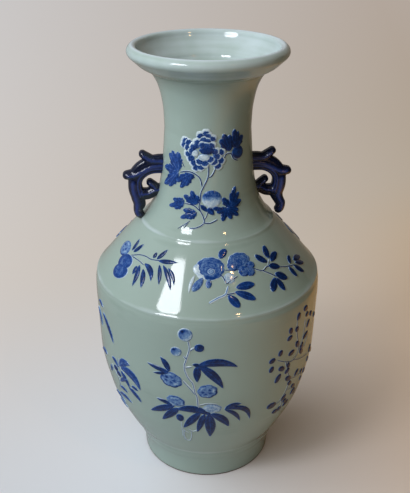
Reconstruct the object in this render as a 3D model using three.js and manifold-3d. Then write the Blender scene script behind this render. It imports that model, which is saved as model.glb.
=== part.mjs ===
// Baluster vase of glazed stoneware: five thrown sections luted together, two pierced
// scroll handles and flower sprays laid on in raised slip. Millimetres, +Z up, origin in
// the middle of the foot's underside, handles along X, the main spray facing -Y.
import * as THREE from 'three';
import { mergeVertices } from 'three/addons/utils/BufferGeometryUtils.js';
import Module from 'manifold-3d';

const wasm = await Module();
wasm.setup();

// Heights of the sections, joint line to joint line, from the floor up
const footHeight = 52;
const bodyHeight = 238;
const shoulderHeight = 72;
const neckHeight = 188;
const mouthHeight = 30;

// Outer radii at the joints and between them
const footRadius = 90;
const footTopRadius = 101.5;
const bellyRadius = 148.4;
const shoulderEdgeRadius = 145.2;
const neckBaseRadius = 84;
const waistRadius = 53.4;
const throatRadius = 70;
const lipRadius = 96.5;
const lipCrestRadius = 90;
const lipInnerRadius = 84;

// Walls and the foot
const wall = 6;
const neckWall = 5;
const floorThickness = 10;
const footRingWidth = 10;
const footRecess = 12;
const footChamfer = 1.2;

// The proud line of slip at a joint
const beadRise = 0.9;
const beadHalfWidth = 2.2;

// Handles: how tall a scroll is, how far its tail hangs below the neck's foot, its depth
// across the arm, and the rounding of its edges and of its inner corners
const handleHeight = 90.7;
const tailDrop = 2;
const handleDepth = 19;
const handleRound = 4;
const cornerRound = 1.5;
const ribRadius = 2.3;
const ribProud = 0.6;
const ribSides = 4;
const ribSteps = 9;

// Applied slip: how proud it stands, and the clearance under each laid piece. Each kind of
// stroke lies a little higher than the one before it, so that no two faces meet flush.
const slipHeight = 1.6;
const stemWidth = 2.4;
const stemHeight = 1.1;
const stemEnd = 1.5;
const tipLift = 0.2;
const scallop = 0.8;
const widestFlat = 11;
const bladeWidth = 6;
const leafWidth = 8.5;
const broadLeafWidth = 13;
const budRadius = 9;
const blossomRadius = 13;
const peonyRadius = 22;
const stalkShare = 0.7;
const facetSpan = 14;
const layerStep = 0.05;
const clearance = 0.3;

// Facets round the vase, the most degrees and millimetres of height that a stem's facet spans,
// the length of a step along a handle's stroke, the sides of its round end, how near the
// handle's outline keeps to it, the facets along a leaf and round a bud, and the steps in a
// search along a stem
const turns = 32;
const widestStep = 7;
const tallestStep = 15;
const strokeStep = 6;
const strokeSides = 16;
const outlineStep = 0.25;
const leafSteps = 3;
const budSides = 7;
const searchSteps = 10;

// Heights of the joints
const bodyFoot = footHeight;
const shoulderFoot = bodyFoot + bodyHeight;
const neckFoot = shoulderFoot + shoulderHeight;
const mouthFoot = neckFoot + neckHeight;

// Each section's outline as stations: the share of its height, then the share of the way
// from its first radius to its second
const footCurve = [[0, 0], [0.29, 0.11], [0.58, 0.37], [0.77, 0.7], [1, 1]];
const bodyCurve = [[0, 0], [0.1, 0.18], [0.22, 0.51], [0.35, 0.765], [0.54, 0.95],
  [0.79, 0.985], [0.9, 1]];
const bodyTurnIn = [[0, 0], [0.6, 0.18], [1, 1]];
const shoulderCurve = [[0, 0], [0.14, 0.13], [0.49, 0.465], [0.83, 0.83], [1, 1]];
const neckCurve = [[0, 1], [0.043, 0.78], [0.1, 0.56], [0.15, 0.41], [0.25, 0.23],
  [0.42, 0.095], [0.63, 0]];
const throatCurve = [[0, 0], [0.3, 0.05], [0.55, 0.2], [0.75, 0.42], [0.9, 0.72], [1, 1]];
const bellyShare = bodyCurve.at(-1)[0];
const waistShare = neckCurve.at(-1)[0];

// Shares of a section's height where its outer side has a ring of points, closer together
// where the side turns faster
const footRings = [0.29, 0.58, 0.77, 0.9];
const bodyRings = [0.06, 0.12, 0.18, 0.25, 0.33, 0.43, 0.55, 0.68, 0.8, 0.9, 0.96];
const shoulderRings = [0.14, 0.32, 0.5, 0.67, 0.83];
const neckRings = [0.043, 0.07, 0.1, 0.125, 0.15, 0.2, 0.26, 0.34, 0.45, 0.58, 0.7, 0.79,
  0.86, 0.92, 0.97];

const celadon = new THREE.MeshStandardMaterial({ color: '#9fb0a3', roughness: 0.16, metalness: 0 });
const cobalt = new THREE.MeshStandardMaterial({ color: '#17224f', roughness: 0.14, metalness: 0 });
const cobaltSlip = new THREE.MeshStandardMaterial({ color: '#27407f', roughness: 0.2, metalness: 0 });

// Smooth curve through stations that never overshoots them
function smooth(stations, share) {
  const last = stations.length - 1;
  const slope = stations.slice(1).map(([x, y], i) => (y - stations[i][1]) / (x - stations[i][0]));
  const tangent = stations.map((_, i) => {
    if (i === 0) return slope[0];
    if (i === last) return slope[last - 1];
    return slope[i - 1] * slope[i] <= 0 ? 0 : 2 / (1 / slope[i - 1] + 1 / slope[i]);
  });
  let i = 0;
  while (i < last - 1 && share > stations[i + 1][0]) i += 1;
  const [x0, y0] = stations[i];
  const [x1, y1] = stations[i + 1];
  const span = x1 - x0;
  const t = THREE.MathUtils.clamp((share - x0) / span, 0, 1);
  const t2 = t * t;
  const t3 = t2 * t;
  return (2 * t3 - 3 * t2 + 1) * y0 + (t3 - 2 * t2 + t) * span * tangent[i]
    + (3 * t2 - 2 * t3) * y1 + (t3 - t2) * span * tangent[i + 1];
}

const between = (from, to, share) => from + (to - from) * share;

// Outer radius of the vase at height z, without the joint beads
function outerRadius(z) {
  if (z <= bodyFoot) return between(footRadius, footTopRadius, smooth(footCurve, z / footHeight));
  if (z <= shoulderFoot) {
    const share = (z - bodyFoot) / bodyHeight;
    if (share <= bellyShare) return between(footTopRadius, bellyRadius, smooth(bodyCurve, share));
    const turn = (share - bellyShare) / (1 - bellyShare);
    return between(bellyRadius, shoulderEdgeRadius, smooth(bodyTurnIn, turn));
  }
  if (z <= neckFoot) {
    const share = (z - shoulderFoot) / shoulderHeight;
    return between(shoulderEdgeRadius, neckBaseRadius, smooth(shoulderCurve, share));
  }
  const share = Math.min((z - neckFoot) / neckHeight, 1);
  if (share <= waistShare) return between(waistRadius, neckBaseRadius, smooth(neckCurve, share));
  const flare = (share - waistShare) / (1 - waistShare);
  return between(waistRadius, throatRadius, smooth(throatCurve, flare));
}

// Millimetres that the outer side draws in for each millimetre of height
function drawIn(z) {
  const reach = 0.5;
  return (outerRadius(z - reach) - outerRadius(z + reach)) / (2 * reach);
}

// Revolve a closed outline of [radius, height] points round Z
function revolve(outline) {
  const points = outline.map(([r, z]) => new THREE.Vector2(r, z));
  if (outline[0][0] > 0) points.push(points[0].clone());
  return new THREE.LatheGeometry(points, turns).rotateX(Math.PI / 2);
}

// Outer side of a section with half a bead at each end that has a joint line, and a ring of
// points at each share of the height
function side(from, to, rings, beadBelow, beadAbove) {
  const ring = (z, rise = 0) => [outerRadius(z) + rise, z];
  return [
    ...(beadBelow ? [ring(from, beadRise), ring(from + beadHalfWidth)] : [ring(from)]),
    ...rings.map((share) => ring(between(from, to, share))),
    ...(beadAbove ? [ring(to - beadHalfWidth), ring(to, beadRise)] : [ring(to)]),
  ];
}

// Inner side of a section, from its top down
function bore(from, to, shares, wallAt) {
  return shares.map((share) => {
    const z = between(from, to, share);
    return [outerRadius(z) - wallAt(z), z];
  });
}

const plainWall = () => wall;
const shoulderWall = (z) => between(wall, neckWall, (z - shoulderFoot) / shoulderHeight);
const thinWall = () => neckWall;

function makeFoot() {
  const inner = footRadius - footRingWidth;
  const floorTop = footRecess + floorThickness;
  const well = bore(footHeight, floorTop + wall, [0, 0.5, 1], plainWall);
  return revolve([
    [0, footRecess],
    [inner - footRecess / 3, footRecess],
    [inner, 0],
    [footRadius - footChamfer, 0],
    ...side(footChamfer, footHeight, footRings, false, true),
    ...well,
    [well.at(-1)[0] - wall, floorTop],
    [0, floorTop],
  ]);
}

const makeBody = () => revolve([
  ...side(bodyFoot, shoulderFoot, bodyRings, true, true),
  ...bore(shoulderFoot, bodyFoot, [0, 0.04, 0.1, 0.4, 0.68, 0.85, 1], plainWall),
]);

const makeShoulder = () => revolve([
  ...side(shoulderFoot, neckFoot, shoulderRings, true, true),
  ...bore(neckFoot, shoulderFoot, [0, 0.5, 1], shoulderWall),
]);

const makeNeck = () => revolve([
  ...side(neckFoot, mouthFoot, neckRings, true, false),
  ...bore(mouthFoot, neckFoot, [0, 0.1, 0.25, 0.55, 0.8, 0.92, 1], thinWall),
]);

// Mouth: a sloping underside, a fat roll and a dished inside
function makeMouth() {
  const top = mouthFoot + mouthHeight;
  const roll = lipRadius - throatRadius;
  const under = [[0.02, 0], [0.1, 0.04], [0.3, 0.1], [0.5, 0.18], [0.66, 0.3], [0.82, 0.43],
    [0.94, 0.54], [1, 0.68], [0.97, 0.84], [0.87, 0.95]];
  const basin = lipInnerRadius - throatRadius;
  const dish = [[1.14, 0.95], [1, 0.82], [0.7, 0.5], [0.2, 0.22]];
  return revolve([
    ...under.map(([out, up]) => [throatRadius + roll * out, mouthFoot + mouthHeight * up]),
    [lipCrestRadius, top],
    ...dish.map(([out, up]) => [throatRadius + basin * out, mouthFoot + mouthHeight * up]),
    [throatRadius - neckWall, mouthFoot],
  ]);
}

// Manifold solid of a three.js geometry, and back
function toSolid(geometry) {
  const bare = geometry.clone();
  bare.deleteAttribute('normal');
  bare.deleteAttribute('uv');
  const merged = mergeVertices(bare, 1e-4);
  return new wasm.Manifold(new wasm.Mesh({
    numProp: 3,
    vertProperties: new Float32Array(merged.attributes.position.array),
    triVerts: new Uint32Array(merged.index.array),
  }));
}

function toGeometry(solid) {
  const mesh = solid.getMesh();
  const geometry = new THREE.BufferGeometry();
  const positions = new Float32Array((mesh.vertProperties.length / mesh.numProp) * 3);
  for (let i = 0; i < positions.length / 3; i += 1) {
    for (let k = 0; k < 3; k += 1) positions[3 * i + k] = mesh.vertProperties[mesh.numProp * i + k];
  }
  geometry.setAttribute('position', new THREE.BufferAttribute(positions, 3));
  geometry.setIndex(new THREE.BufferAttribute(new Uint32Array(mesh.triVerts), 1));
  geometry.computeVertexNormals();
  return geometry;
}

// A handle is modelled as rolls of clay pressed together. A roll is a run of stations in
// percent of the handle's height: reach beyond the neck's waist, height above the tail's
// end, and width.
const arm = [[-7, 79.7, 27], [11, 79.8, 26], [22.5, 77.5, 24], [32.5, 72.2, 23], [39.7, 64, 21.5],
  [42.2, 54, 19.5], [41.7, 44, 20], [39.2, 34.2, 19.3]];
const tail = [[39.2, 34.2, 19.3], [39, 24.3, 17.6], [42, 14.9, 13.7], [41.3, 8.2, 12.4],
  [39.4, 5.8, 11.5]];
const root = [[-7, 42.5, 14.3], [13, 41.9, 16], [24.3, 36.7, 15.8], [36.5, 36.4, 17.6]];
const curl = [[12, 43, 13.2], [17, 49, 11], [21.8, 53.2, 10.1]];
const horn = [[22, 87.4, 13.7], [30.9, 94.8, 10.1]];
const knob = [[42, 65, 16.5], [53.3, 64.8, 11.7]];

// The ribs on a handle's faces: the roll that each one runs along, and the share of the
// roll's half width that it lies towards the outside
const handleRibs = [
  [[...arm, ...tail.slice(1, 4)], 0.62],
  [arm.slice(0, 7), 0.08],
  [arm.slice(0, 7), -0.46],
];

// Solid that fills the shoulder and the neck, grown outwards by the clearance
function vaseSolid() {
  const outside = [
    ...side(shoulderFoot, neckFoot, shoulderRings, true, true),
    ...side(neckFoot, mouthFoot, neckRings, true, false).slice(1),
  ];
  const grown = outside.map(([r, z]) => [r + clearance / Math.cos(Math.PI / turns), z]);
  return toSolid(revolve([[0, shoulderFoot, shoulderHeight], ...grown, [0, mouthFoot]]));
}

// Stations of a roll in millimetres from the vase's axis and the floor, closer together along
// a smooth run
function alongRoll(stations) {
  const curve = new THREE.CatmullRomCurve3(stations.map((at) => new THREE.Vector3(...at)));
  const length = curve.getLength() * handleHeight / 100;
  return curve.getSpacedPoints(Math.ceil(length / strokeStep)).map((at) => {
    const [reach, height, width] = at.toArray().map((v) => v * handleHeight / 100);
    return [waistRadius + reach, neckFoot - tailDrop + height, width];
  });
}

// Flat outline of a roll: round ends at its stations, joined two by two
function rollOutline(stations) {
  const ends = alongRoll(stations).map(([x, z, width]) => (
    wasm.CrossSection.circle(width / 2, strokeSides).translate([x, z])));
  return wasm.CrossSection.union(ends.slice(1).map((end, i) => (
    wasm.CrossSection.hull([ends[i], end]))));
}

// Tube along a roll, a share of the roll's half width towards its outside
function rib([stations, share], offset) {
  const run = alongRoll(stations);
  const path = new THREE.CatmullRomCurve3(run.map(([x, z, width], i) => {
    const [x0, z0] = run[Math.max(i - 1, 0)];
    const [x1, z1] = run[Math.min(i + 1, run.length - 1)];
    const across = (share * width) / 2 / Math.hypot(x1 - x0, z1 - z0);
    return new THREE.Vector3(x - (z1 - z0) * across, offset, z + (x1 - x0) * across);
  }));
  const section = new THREE.Shape();
  for (let i = 0; i < ribSides; i += 1) {
    const angle = (i / ribSides) * 2 * Math.PI;
    section[i ? 'lineTo' : 'moveTo'](ribRadius * Math.cos(angle), ribRadius * Math.sin(angle));
  }
  return toSolid(new THREE.ExtrudeGeometry(section, { steps: ribSteps, extrudePath: path }));
}

function makeHandle() {
  const outline = wasm.CrossSection.union([arm, tail, root, curl, horn, knob].map(rollOutline))
    .offset(cornerRound, 'Round', 2, strokeSides)
    .offset(-cornerRound, 'Round', 2, strokeSides)
    .simplify(outlineStep);
  const shape = new THREE.Shape(outline.toPolygons()[0].map(([x, z]) => new THREE.Vector2(x, z)));
  const flat = handleDepth - 2 * handleRound;
  const slab = new THREE.ExtrudeGeometry(shape, {
    depth: flat,
    bevelThickness: handleRound,
    bevelSize: handleRound * 0.5,
    bevelOffset: -handleRound * 0.5,
    bevelSegments: 1,
    curveSegments: 1,
  });
  slab.translate(0, 0, -flat / 2).rotateX(Math.PI / 2);
  let solid = toSolid(slab);
  const ribOffset = handleDepth / 2 + ribProud - ribRadius;
  for (const ribPath of handleRibs) {
    solid = solid.add(rib(ribPath, ribOffset)).add(rib(ribPath, -ribOffset));
  }
  return toGeometry(solid.subtract(vaseSolid()));
}

// Frame for laying slip on the vase: a place is [degrees round the vase, height]
function onVase([bearing, z], lift) {
  const lean = Math.atan(drawIn(z));
  const r = outerRadius(z) + lift * Math.cos(lean);
  const angle = THREE.MathUtils.degToRad(bearing);
  return [r * Math.sin(angle), -r * Math.cos(angle), z + lift * Math.sin(lean)];
}

// Millimetres on the surface for one degree round it and for one millimetre of height
function surfaceScale(z) {
  return [THREE.MathUtils.degToRad(outerRadius(z)), Math.hypot(1, drawIn(z))];
}

// Closed solid from rings of points, with a single point at each end
function skin(start, rings, end) {
  const points = [start, ...rings.flat(), end];
  const size = rings[0].length;
  const faces = [];
  for (let k = 0; k < size; k += 1) {
    const next = (k + 1) % size;
    faces.push(0, 1 + k, 1 + next);
    for (let i = 0; i < rings.length - 1; i += 1) {
      const a = 1 + i * size;
      const b = a + size;
      faces.push(a + k, b + k, b + next, a + k, b + next, a + next);
    }
    const lastRing = 1 + (rings.length - 1) * size;
    faces.push(lastRing + k, points.length - 1, lastRing + next);
  }
  const geometry = new THREE.BufferGeometry();
  geometry.setAttribute('position', new THREE.Float32BufferAttribute(points.flat(), 3));
  geometry.setIndex(faces);
  return toSolid(geometry);
}

// Ribbon of slip along places, with a half width and a crown height for each. A wide one on
// a tight curve has a point under its middle too, so that its underside follows the vase.
function ribbon(places, halfWidths, crowns, bed) {
  const deep = Math.max(...halfWidths) ** 2 / 2 / outerRadius(places[0][1]) > clearance / 2;
  const rings = [];
  for (let i = 1; i < places.length - 1; i += 1) {
    const [sx, sz] = surfaceScale(places[i][1]);
    const dx = (places[i + 1][0] - places[i - 1][0]) * sx;
    const dz = (places[i + 1][1] - places[i - 1][1]) * sz;
    const length = Math.hypot(dx, dz);
    const across = [-dz / length / sx, dx / length / sz];
    const left = places[i].map((v, k) => v + across[k] * halfWidths[i]);
    const right = places[i].map((v, k) => v - across[k] * halfWidths[i]);
    const ring = [onVase(right, bed), onVase(places[i], bed + crowns[i])];
    rings.push([onVase(left, bed), ...(deep ? [onVase(places[i], bed)] : []), ...ring]);
  }
  return skin(onVase(places[0], bed + tipLift), rings, onVase(places.at(-1), bed + tipLift));
}

// Leaf from its base to its tip, bowed to one side by a share of its length. It grows from
// the nearest point of the stems.
function leaf([a0, z0, a1, z1, width, bow = 0], root, bed) {
  const [sx, sz] = surfaceScale((z0 + z1) / 2);
  const dx = (a1 - a0) * sx;
  const dz = (z1 - z0) * sz;
  const at = (t) => {
    const off = bow * 4 * t * (1 - t);
    return [a0 + (dx * t - dz * off) / sx, z0 + (dz * t + dx * off) / sz];
  };
  const places = [root];
  const halfWidths = [0];
  const first = gapBetween(root, [a0, z0]) > stemWidth ? 0 : 1;
  for (let i = first; i <= leafSteps; i += 1) {
    const t = i / leafSteps;
    places.push(at(t));
    halfWidths.push(Math.max((width / 2) * Math.sin(Math.PI * t ** 0.8), stemWidth / 2));
  }
  return ribbon(places, halfWidths, places.map(() => slipHeight), bed);
}

// Blossom, bud or fruit: a low dome with a round or scalloped edge
function bud([a, z, radius, petals = 0], bed) {
  const [sx, sz] = surfaceScale(z);
  const sides = petals ? 2 * petals : budSides;
  const ring = (size, lift) => Array.from({ length: sides }, (_, k) => {
    const angle = -(k / sides) * 2 * Math.PI;
    const reach = size * (petals && k % 2 ? scallop : 1);
    return onVase([a + (reach * Math.cos(angle)) / sx, z + (reach * Math.sin(angle)) / sz], lift);
  });
  const under = radius > widestFlat ? [ring(radius * 0.5, bed)] : [];
  const over = [ring(radius, bed), ring(radius * 0.6, bed + slipHeight * 0.8)];
  return skin(onVase([a, z], bed), [...under, ...over], onVase([a, z], bed + slipHeight));
}

// Millimetres on the surface between two places
function gapBetween(first, second) {
  const [sx, sz] = surfaceScale((first[1] + second[1]) / 2);
  return Math.hypot((second[0] - first[0]) * sx, (second[1] - first[1]) * sz);
}

// Place a given distance past the first of two, in line with both, away from the second
function beyond(first, second, distance) {
  const share = distance / gapBetween(first, second);
  return first.map((v, k) => v - (second[k] - v) * share);
}

// The same places with more between them, so that every step follows the vase's curve
function follow(places) {
  const run = [places[0]];
  for (let i = 1; i < places.length; i += 1) {
    const [turn, climb] = places[i].map((v, j) => Math.abs(v - places[i - 1][j]));
    const steps = Math.ceil(Math.max(turn / widestStep, climb / tallestStep));
    for (let k = 1; k < steps; k += 1) {
      run.push(places[i].map((v, j) => between(places[i - 1][j], v, k / steps)));
    }
    run.push(places[i]);
  }
  return run;
}

function stem(places, bed) {
  const run = [beyond(places[0], places[1], stemEnd), ...follow(places),
    beyond(places.at(-1), places.at(-2), stemEnd)];
  return ribbon(run, run.map(() => stemWidth / 2), run.map(() => stemHeight), bed);
}

// Nearest point of the stems to a place
function nearestOn(stems, place) {
  let best = { gap: Infinity };
  for (const points of stems) {
    for (let i = 1; i < points.length; i += 1) {
      for (let step = 0; step <= searchSteps; step += 1) {
        const point = points[i].map((v, k) => between(points[i - 1][k], v, step / searchSteps));
        const gap = gapBetween(point, place);
        if (gap < best.gap) best = { gap, point };
      }
    }
  }
  return best.point;
}

// A spray's places are degrees from its middle line and percent of its section's height. A
// leaf is [base, tip, width, bow], and a bud or blossom is [middle, radius, petals].
const neckSpray = {
  stems: [
    [[4, 45.5], [3, 38.5], [-2, 28.5], [-4, 21.5], [-1, 13], [-8, 7]],
    [[-2, 28.5], [-9, 39.5], [-16, 40.5], [-24, 41]],
    [[-1, 13], [6, 12], [13, 14], [20, 16.5]],
    [[14, 51], [22, 52.5], [30, 53.5]],
  ],
  leaves: [
    [24, 53, 22, 65.5, broadLeafWidth, 0.1], [30, 53.5, 44, 67.5, broadLeafWidth, -0.1],
    [-24, 41.5, -54, 51, broadLeafWidth, 0.1], [-24, 40, -56, 33, broadLeafWidth, -0.1],
    [-20, 40, -31, 30.5, broadLeafWidth, 0.1], [-5, 22.5, -23, 26.5, broadLeafWidth, 0.1],
    [-5, 19, -42, 16.5, leafWidth, -0.1], [19, 15.5, 39, 14.5, broadLeafWidth, -0.1],
    [20, 16.5, 38, 30.5, broadLeafWidth, -0.1],
  ],
  buds: [
    [-1, 54.5, peonyRadius, 8], [46, 52, budRadius], [8, 24, budRadius],
  ],
};

const shoulderFlowers = {
  stems: [
    [[-28, 62.5], [-10, 61], [6, 54], [20, 47], [34, 40.5]],
    [[-10, 58.5], [-20, 33.5]],
  ],
  leaves: [
    [-21, 78, -16, 89, bladeWidth, 0], [-34, 57, -39, 37.5, bladeWidth, 0.1],
    [-18, 39, -3, 41.5, leafWidth, 0.1], [-19, 30.5, -13, 15.5, leafWidth, 0],
    [11, 61, 5, 73.5, leafWidth, 0], [13, 61, 17, 82, leafWidth, 0], [11, 47, 6, 25, leafWidth, 0],
    [12, 46, 19, 32, leafWidth, 0], [30, 40.5, 38, 25, leafWidth, 0],
    [32, 41.5, 43, 36, leafWidth, 0],
  ],
  buds: [
    [-28, 68, blossomRadius, 7], [-9, 69.5, blossomRadius, 7],
  ],
};

const shoulderBamboo = {
  stems: [
    [[-10, 44.5], [-9, 55.5], [2, 66.5], [14, 65.5], [28, 69.5]],
    [[-9, 55.5], [6, 55.5]],
  ],
  leaves: [
    [-12, 62.5, -15, 82, bladeWidth, 0], [-10, 62.5, -5, 79, bladeWidth, 0],
    [13, 66.5, 18, 83.5, bladeWidth, 0], [2, 55.5, 4, 25, bladeWidth, 0.08],
    [4, 55.5, 12, 28, bladeWidth, 0.08], [6, 55.5, 15, 39, bladeWidth, 0.1],
    [17, 64, 20, 37.5, bladeWidth, 0.08], [19, 64, 29, 36, bladeWidth, 0.08],
  ],
  buds: [
    [-12, 44.5, blossomRadius], [-12, 28, budRadius],
  ],
};

const bodyFlowers = {
  stems: [
    [[-6, 89], [-6, 79], [-7, 72.5], [-3, 62], [0, 51.5], [0, 45.5]],
    [[0, 45.5], [-14, 43.5], [-10, 27.5], [-9, 21]],
    [[0, 45.5], [13, 44.5]],
  ],
  leaves: [
    [-14, 67.5, -26, 69.5, leafWidth, 0.1], [-14, 67, -19, 75.5, leafWidth, 0.1],
    [-5, 69.5, 18, 72.5, broadLeafWidth, 0.18], [-4, 66.5, 12, 59.5, broadLeafWidth, 0.14],
    [-14, 43.5, -27, 36, broadLeafWidth, 0], [-13, 40, -21, 30.5, broadLeafWidth, 0],
    [-5, 44.5, -9, 27.5, broadLeafWidth, 0], [1, 45.5, 6, 18.5, broadLeafWidth, 0],
    [8, 45, 16, 28.5, broadLeafWidth, 0.06], [13, 44.5, 28, 31.5, leafWidth, 0.16],
  ],
  buds: [
    [-6, 91.5, budRadius], [-11, 81, budRadius], [-13, 62.5, blossomRadius, 6],
    [3, 57.5, blossomRadius, 6], [-8, 18, budRadius],
  ],
};

const bodyBerries = {
  stems: [
    [[-2, 88], [-8, 76.5], [-13, 67], [-9, 58], [-4, 44.5], [-6, 38.5], [-14, 36]],
    [[-9, 58], [2, 62]],
  ],
  leaves: [
    [-11, 80, -7, 89, leafWidth, 0], [-3, 86.5, -2, 92.5, leafWidth, 0],
    [-2, 87.5, 7, 93.5, leafWidth, 0], [-5, 80, 1, 84, leafWidth, 0],
    [-13, 69.5, -23, 70.5, leafWidth, 0], [-13, 64.5, -23, 65.5, leafWidth, 0],
    [-12, 59.5, -17, 54.5, leafWidth, 0], [-10, 58, -5, 54.5, leafWidth, 0],
    [2, 62, 7, 68, leafWidth, 0], [-7, 53, 1, 49.5, leafWidth, 0],
    [-10, 37, -20, 38, broadLeafWidth, 0], [-6, 38, -2, 29.5, leafWidth, 0],
    [-5, 40.5, 6, 35.5, leafWidth, 0],
  ],
  buds: [],
};

const bodyGrasses = {
  stems: [
    [[-14, 82.5], [-12, 76.5], [2, 65.5], [8, 55.5], [12, 43.5], [2, 34.5]],
  ],
  leaves: [
    [-14, 81.5, -4, 88, leafWidth, -0.14], [-12, 78, 5, 69.5, leafWidth, 0.16],
    [-13, 78, -14, 70.5, leafWidth, 0], [8, 56.5, 17, 63.5, leafWidth, -0.1],
    [8, 56, 23, 48.5, broadLeafWidth, 0.24], [3, 61.5, -4, 48.5, leafWidth, 0],
    [9, 54, 2, 41, leafWidth, 0], [12, 45.5, 22, 39.5, leafWidth, 0.1],
    [3, 35, 14, 33, leafWidth, -0.1], [2, 34.5, -8, 28.5, leafWidth, 0],
  ],
  buds: [],
};

// Lay a spray on the vase round a bearing: every stem, leaf and bud is joined into one piece
function makeSpray(spray, middle, sectionFoot, sectionHeight) {
  const place = ([a, percent]) => [a + middle, sectionFoot + sectionHeight * percent / 100];
  const stems = spray.stems.map((points) => points.map(place));
  const tightest = Math.min(...stems.flat().map(([, z]) => outerRadius(z)));
  const dip = facetSpan ** 2 / 8 / tightest;
  const bed = clearance + dip;
  const pieces = stems.map((points) => stem(points, bed));
  spray.leaves.forEach(([a0, h0, a1, h1, width, bow]) => {
    const base = place([a0, h0]);
    const shape = [...base, ...place([a1, h1]), width, bow];
    pieces.push(leaf(shape, nearestOn(stems, base), bed + 3 * layerStep));
  });
  spray.buds.forEach(([a, h, radius, petals]) => {
    const centre = place([a, h]);
    const root = nearestOn(stems, centre);
    const apart = gapBetween(root, centre) > radius * stalkShare;
    if (apart) pieces.push(stem([root, centre], bed + layerStep));
    pieces.push(bud([...centre, radius, petals], bed + 2 * layerStep));
  });
  return toGeometry(wasm.Manifold.union(pieces));
}

// Which spray lies where: name, design, bearing of its middle line, and its section's foot
// and height
const sprays = [
  ['neck_spray_front', neckSpray, -11, neckFoot, neckHeight],
  ['neck_spray_back', neckSpray, 169, neckFoot, neckHeight],
  ['shoulder_spray_left', shoulderBamboo, -54, shoulderFoot, shoulderHeight],
  ['shoulder_spray_front', shoulderFlowers, 24, shoulderFoot, shoulderHeight],
  ['shoulder_spray_right', shoulderBamboo, 116, shoulderFoot, shoulderHeight],
  ['shoulder_spray_back', shoulderFlowers, -154, shoulderFoot, shoulderHeight],
  ['body_spray_front', bodyFlowers, -10, bodyFoot, bodyHeight],
  ['body_spray_front_right', bodyBerries, 50, bodyFoot, bodyHeight],
  ['body_spray_back_right', bodyFlowers, 122, bodyFoot, bodyHeight],
  ['body_spray_back_left', bodyBerries, -142, bodyFoot, bodyHeight],
  ['body_spray_front_left', bodyGrasses, -64, bodyFoot, bodyHeight],
];

const vase = new THREE.Group();

function addPiece(name, geometry, material, parent = vase) {
  const mesh = new THREE.Mesh(geometry, material);
  mesh.name = name;
  parent.add(mesh);
}

addPiece('foot', makeFoot(), celadon);
addPiece('lower_body', makeBody(), celadon);
addPiece('shoulder', makeShoulder(), celadon);
addPiece('neck', makeNeck(), celadon);
addPiece('mouth_rim', makeMouth(), celadon);

const handle = makeHandle();
const opposite = new THREE.Group();
opposite.rotation.z = Math.PI;
vase.add(opposite);
addPiece('right_handle', handle, cobalt);
addPiece('left_handle', handle.clone(), cobalt, opposite);

for (const [name, design, bearing, foot, height] of sprays) {
  addPiece(name, makeSpray(design, bearing, foot, height), cobaltSlip);
}

export default vase;
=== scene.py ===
"""Looks of a baluster vase: celadon glaze over turned stoneware, moulded scroll handles under
cobalt glaze, and flower sprays painted in cobalt over raised slip."""

import math

import bmesh
import bpy
import numpy as np
from bpy.props import FloatProperty, FloatVectorProperty, IntProperty, PointerProperty
from mathutils import Matrix, Vector


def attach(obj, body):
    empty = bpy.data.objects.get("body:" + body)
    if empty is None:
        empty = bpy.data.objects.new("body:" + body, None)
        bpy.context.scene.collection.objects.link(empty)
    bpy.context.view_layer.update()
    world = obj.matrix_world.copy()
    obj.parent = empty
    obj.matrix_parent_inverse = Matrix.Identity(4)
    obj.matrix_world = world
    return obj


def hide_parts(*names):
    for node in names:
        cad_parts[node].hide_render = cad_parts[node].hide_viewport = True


bl_info = {
    "name": "Baluster vase",
    "version": (1, 0, 0),
    "blender": (4, 5, 0),
    "location": "3D View > Sidebar > Vase",
    "description": "Builds the looks of a glazed baluster vase round its packed model",
    "category": "Object",
}

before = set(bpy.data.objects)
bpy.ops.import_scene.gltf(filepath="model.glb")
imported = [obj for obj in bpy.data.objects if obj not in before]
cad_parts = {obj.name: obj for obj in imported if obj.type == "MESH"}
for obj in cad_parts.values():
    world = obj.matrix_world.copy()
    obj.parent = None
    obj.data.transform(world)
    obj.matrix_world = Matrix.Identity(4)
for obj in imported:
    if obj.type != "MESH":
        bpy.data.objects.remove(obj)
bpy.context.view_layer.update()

MM = 0.001


def linear(code):
    """Linear RGBA of an sRGB hex colour."""
    shares = [int(code[i:i + 2], 16) / 255 for i in (1, 3, 5)]
    return [c / 12.92 if c <= 0.04045 else ((c + 0.055) / 1.055) ** 2.4 for c in shares] + [1.0]


# The vase's outline, in millimetres. The lower body, the neck's base, the lip and the dish inside it
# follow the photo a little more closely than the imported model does.

FOOT_HEIGHT, BODY_HEIGHT, SHOULDER_HEIGHT, NECK_HEIGHT, MOUTH_HEIGHT = 52, 238, 72, 188, 30
FOOT_RADIUS, FOOT_TOP_RADIUS, BELLY_RADIUS, SHOULDER_EDGE_RADIUS = 90, 101.5, 148.4, 145.2
NECK_BASE_RADIUS, WAIST_RADIUS, THROAT_RADIUS = 84, 53.4, 70
LIP_RADIUS, LIP_CREST_RADIUS, LIP_INNER_RADIUS = 96.5, 90, 84
WALL, NECK_WALL, FLOOR_THICKNESS, FOOT_RING, FOOT_RECESS = 6, 5, 10, 10, 12

BODY_FOOT = FOOT_HEIGHT
SHOULDER_FOOT = BODY_FOOT + BODY_HEIGHT
NECK_FOOT = SHOULDER_FOOT + SHOULDER_HEIGHT
MOUTH_FOOT = NECK_FOOT + NECK_HEIGHT
TOP = MOUTH_FOOT + MOUTH_HEIGHT
# The joints that show as lines of slip, and how softly each was wiped
JOINTS = ((BODY_FOOT, 1.7), (SHOULDER_FOOT, 1.25), (NECK_FOOT, 0.85))
# The height of the groove under the mouth
GROOVE = MOUTH_FOOT - 1

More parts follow.
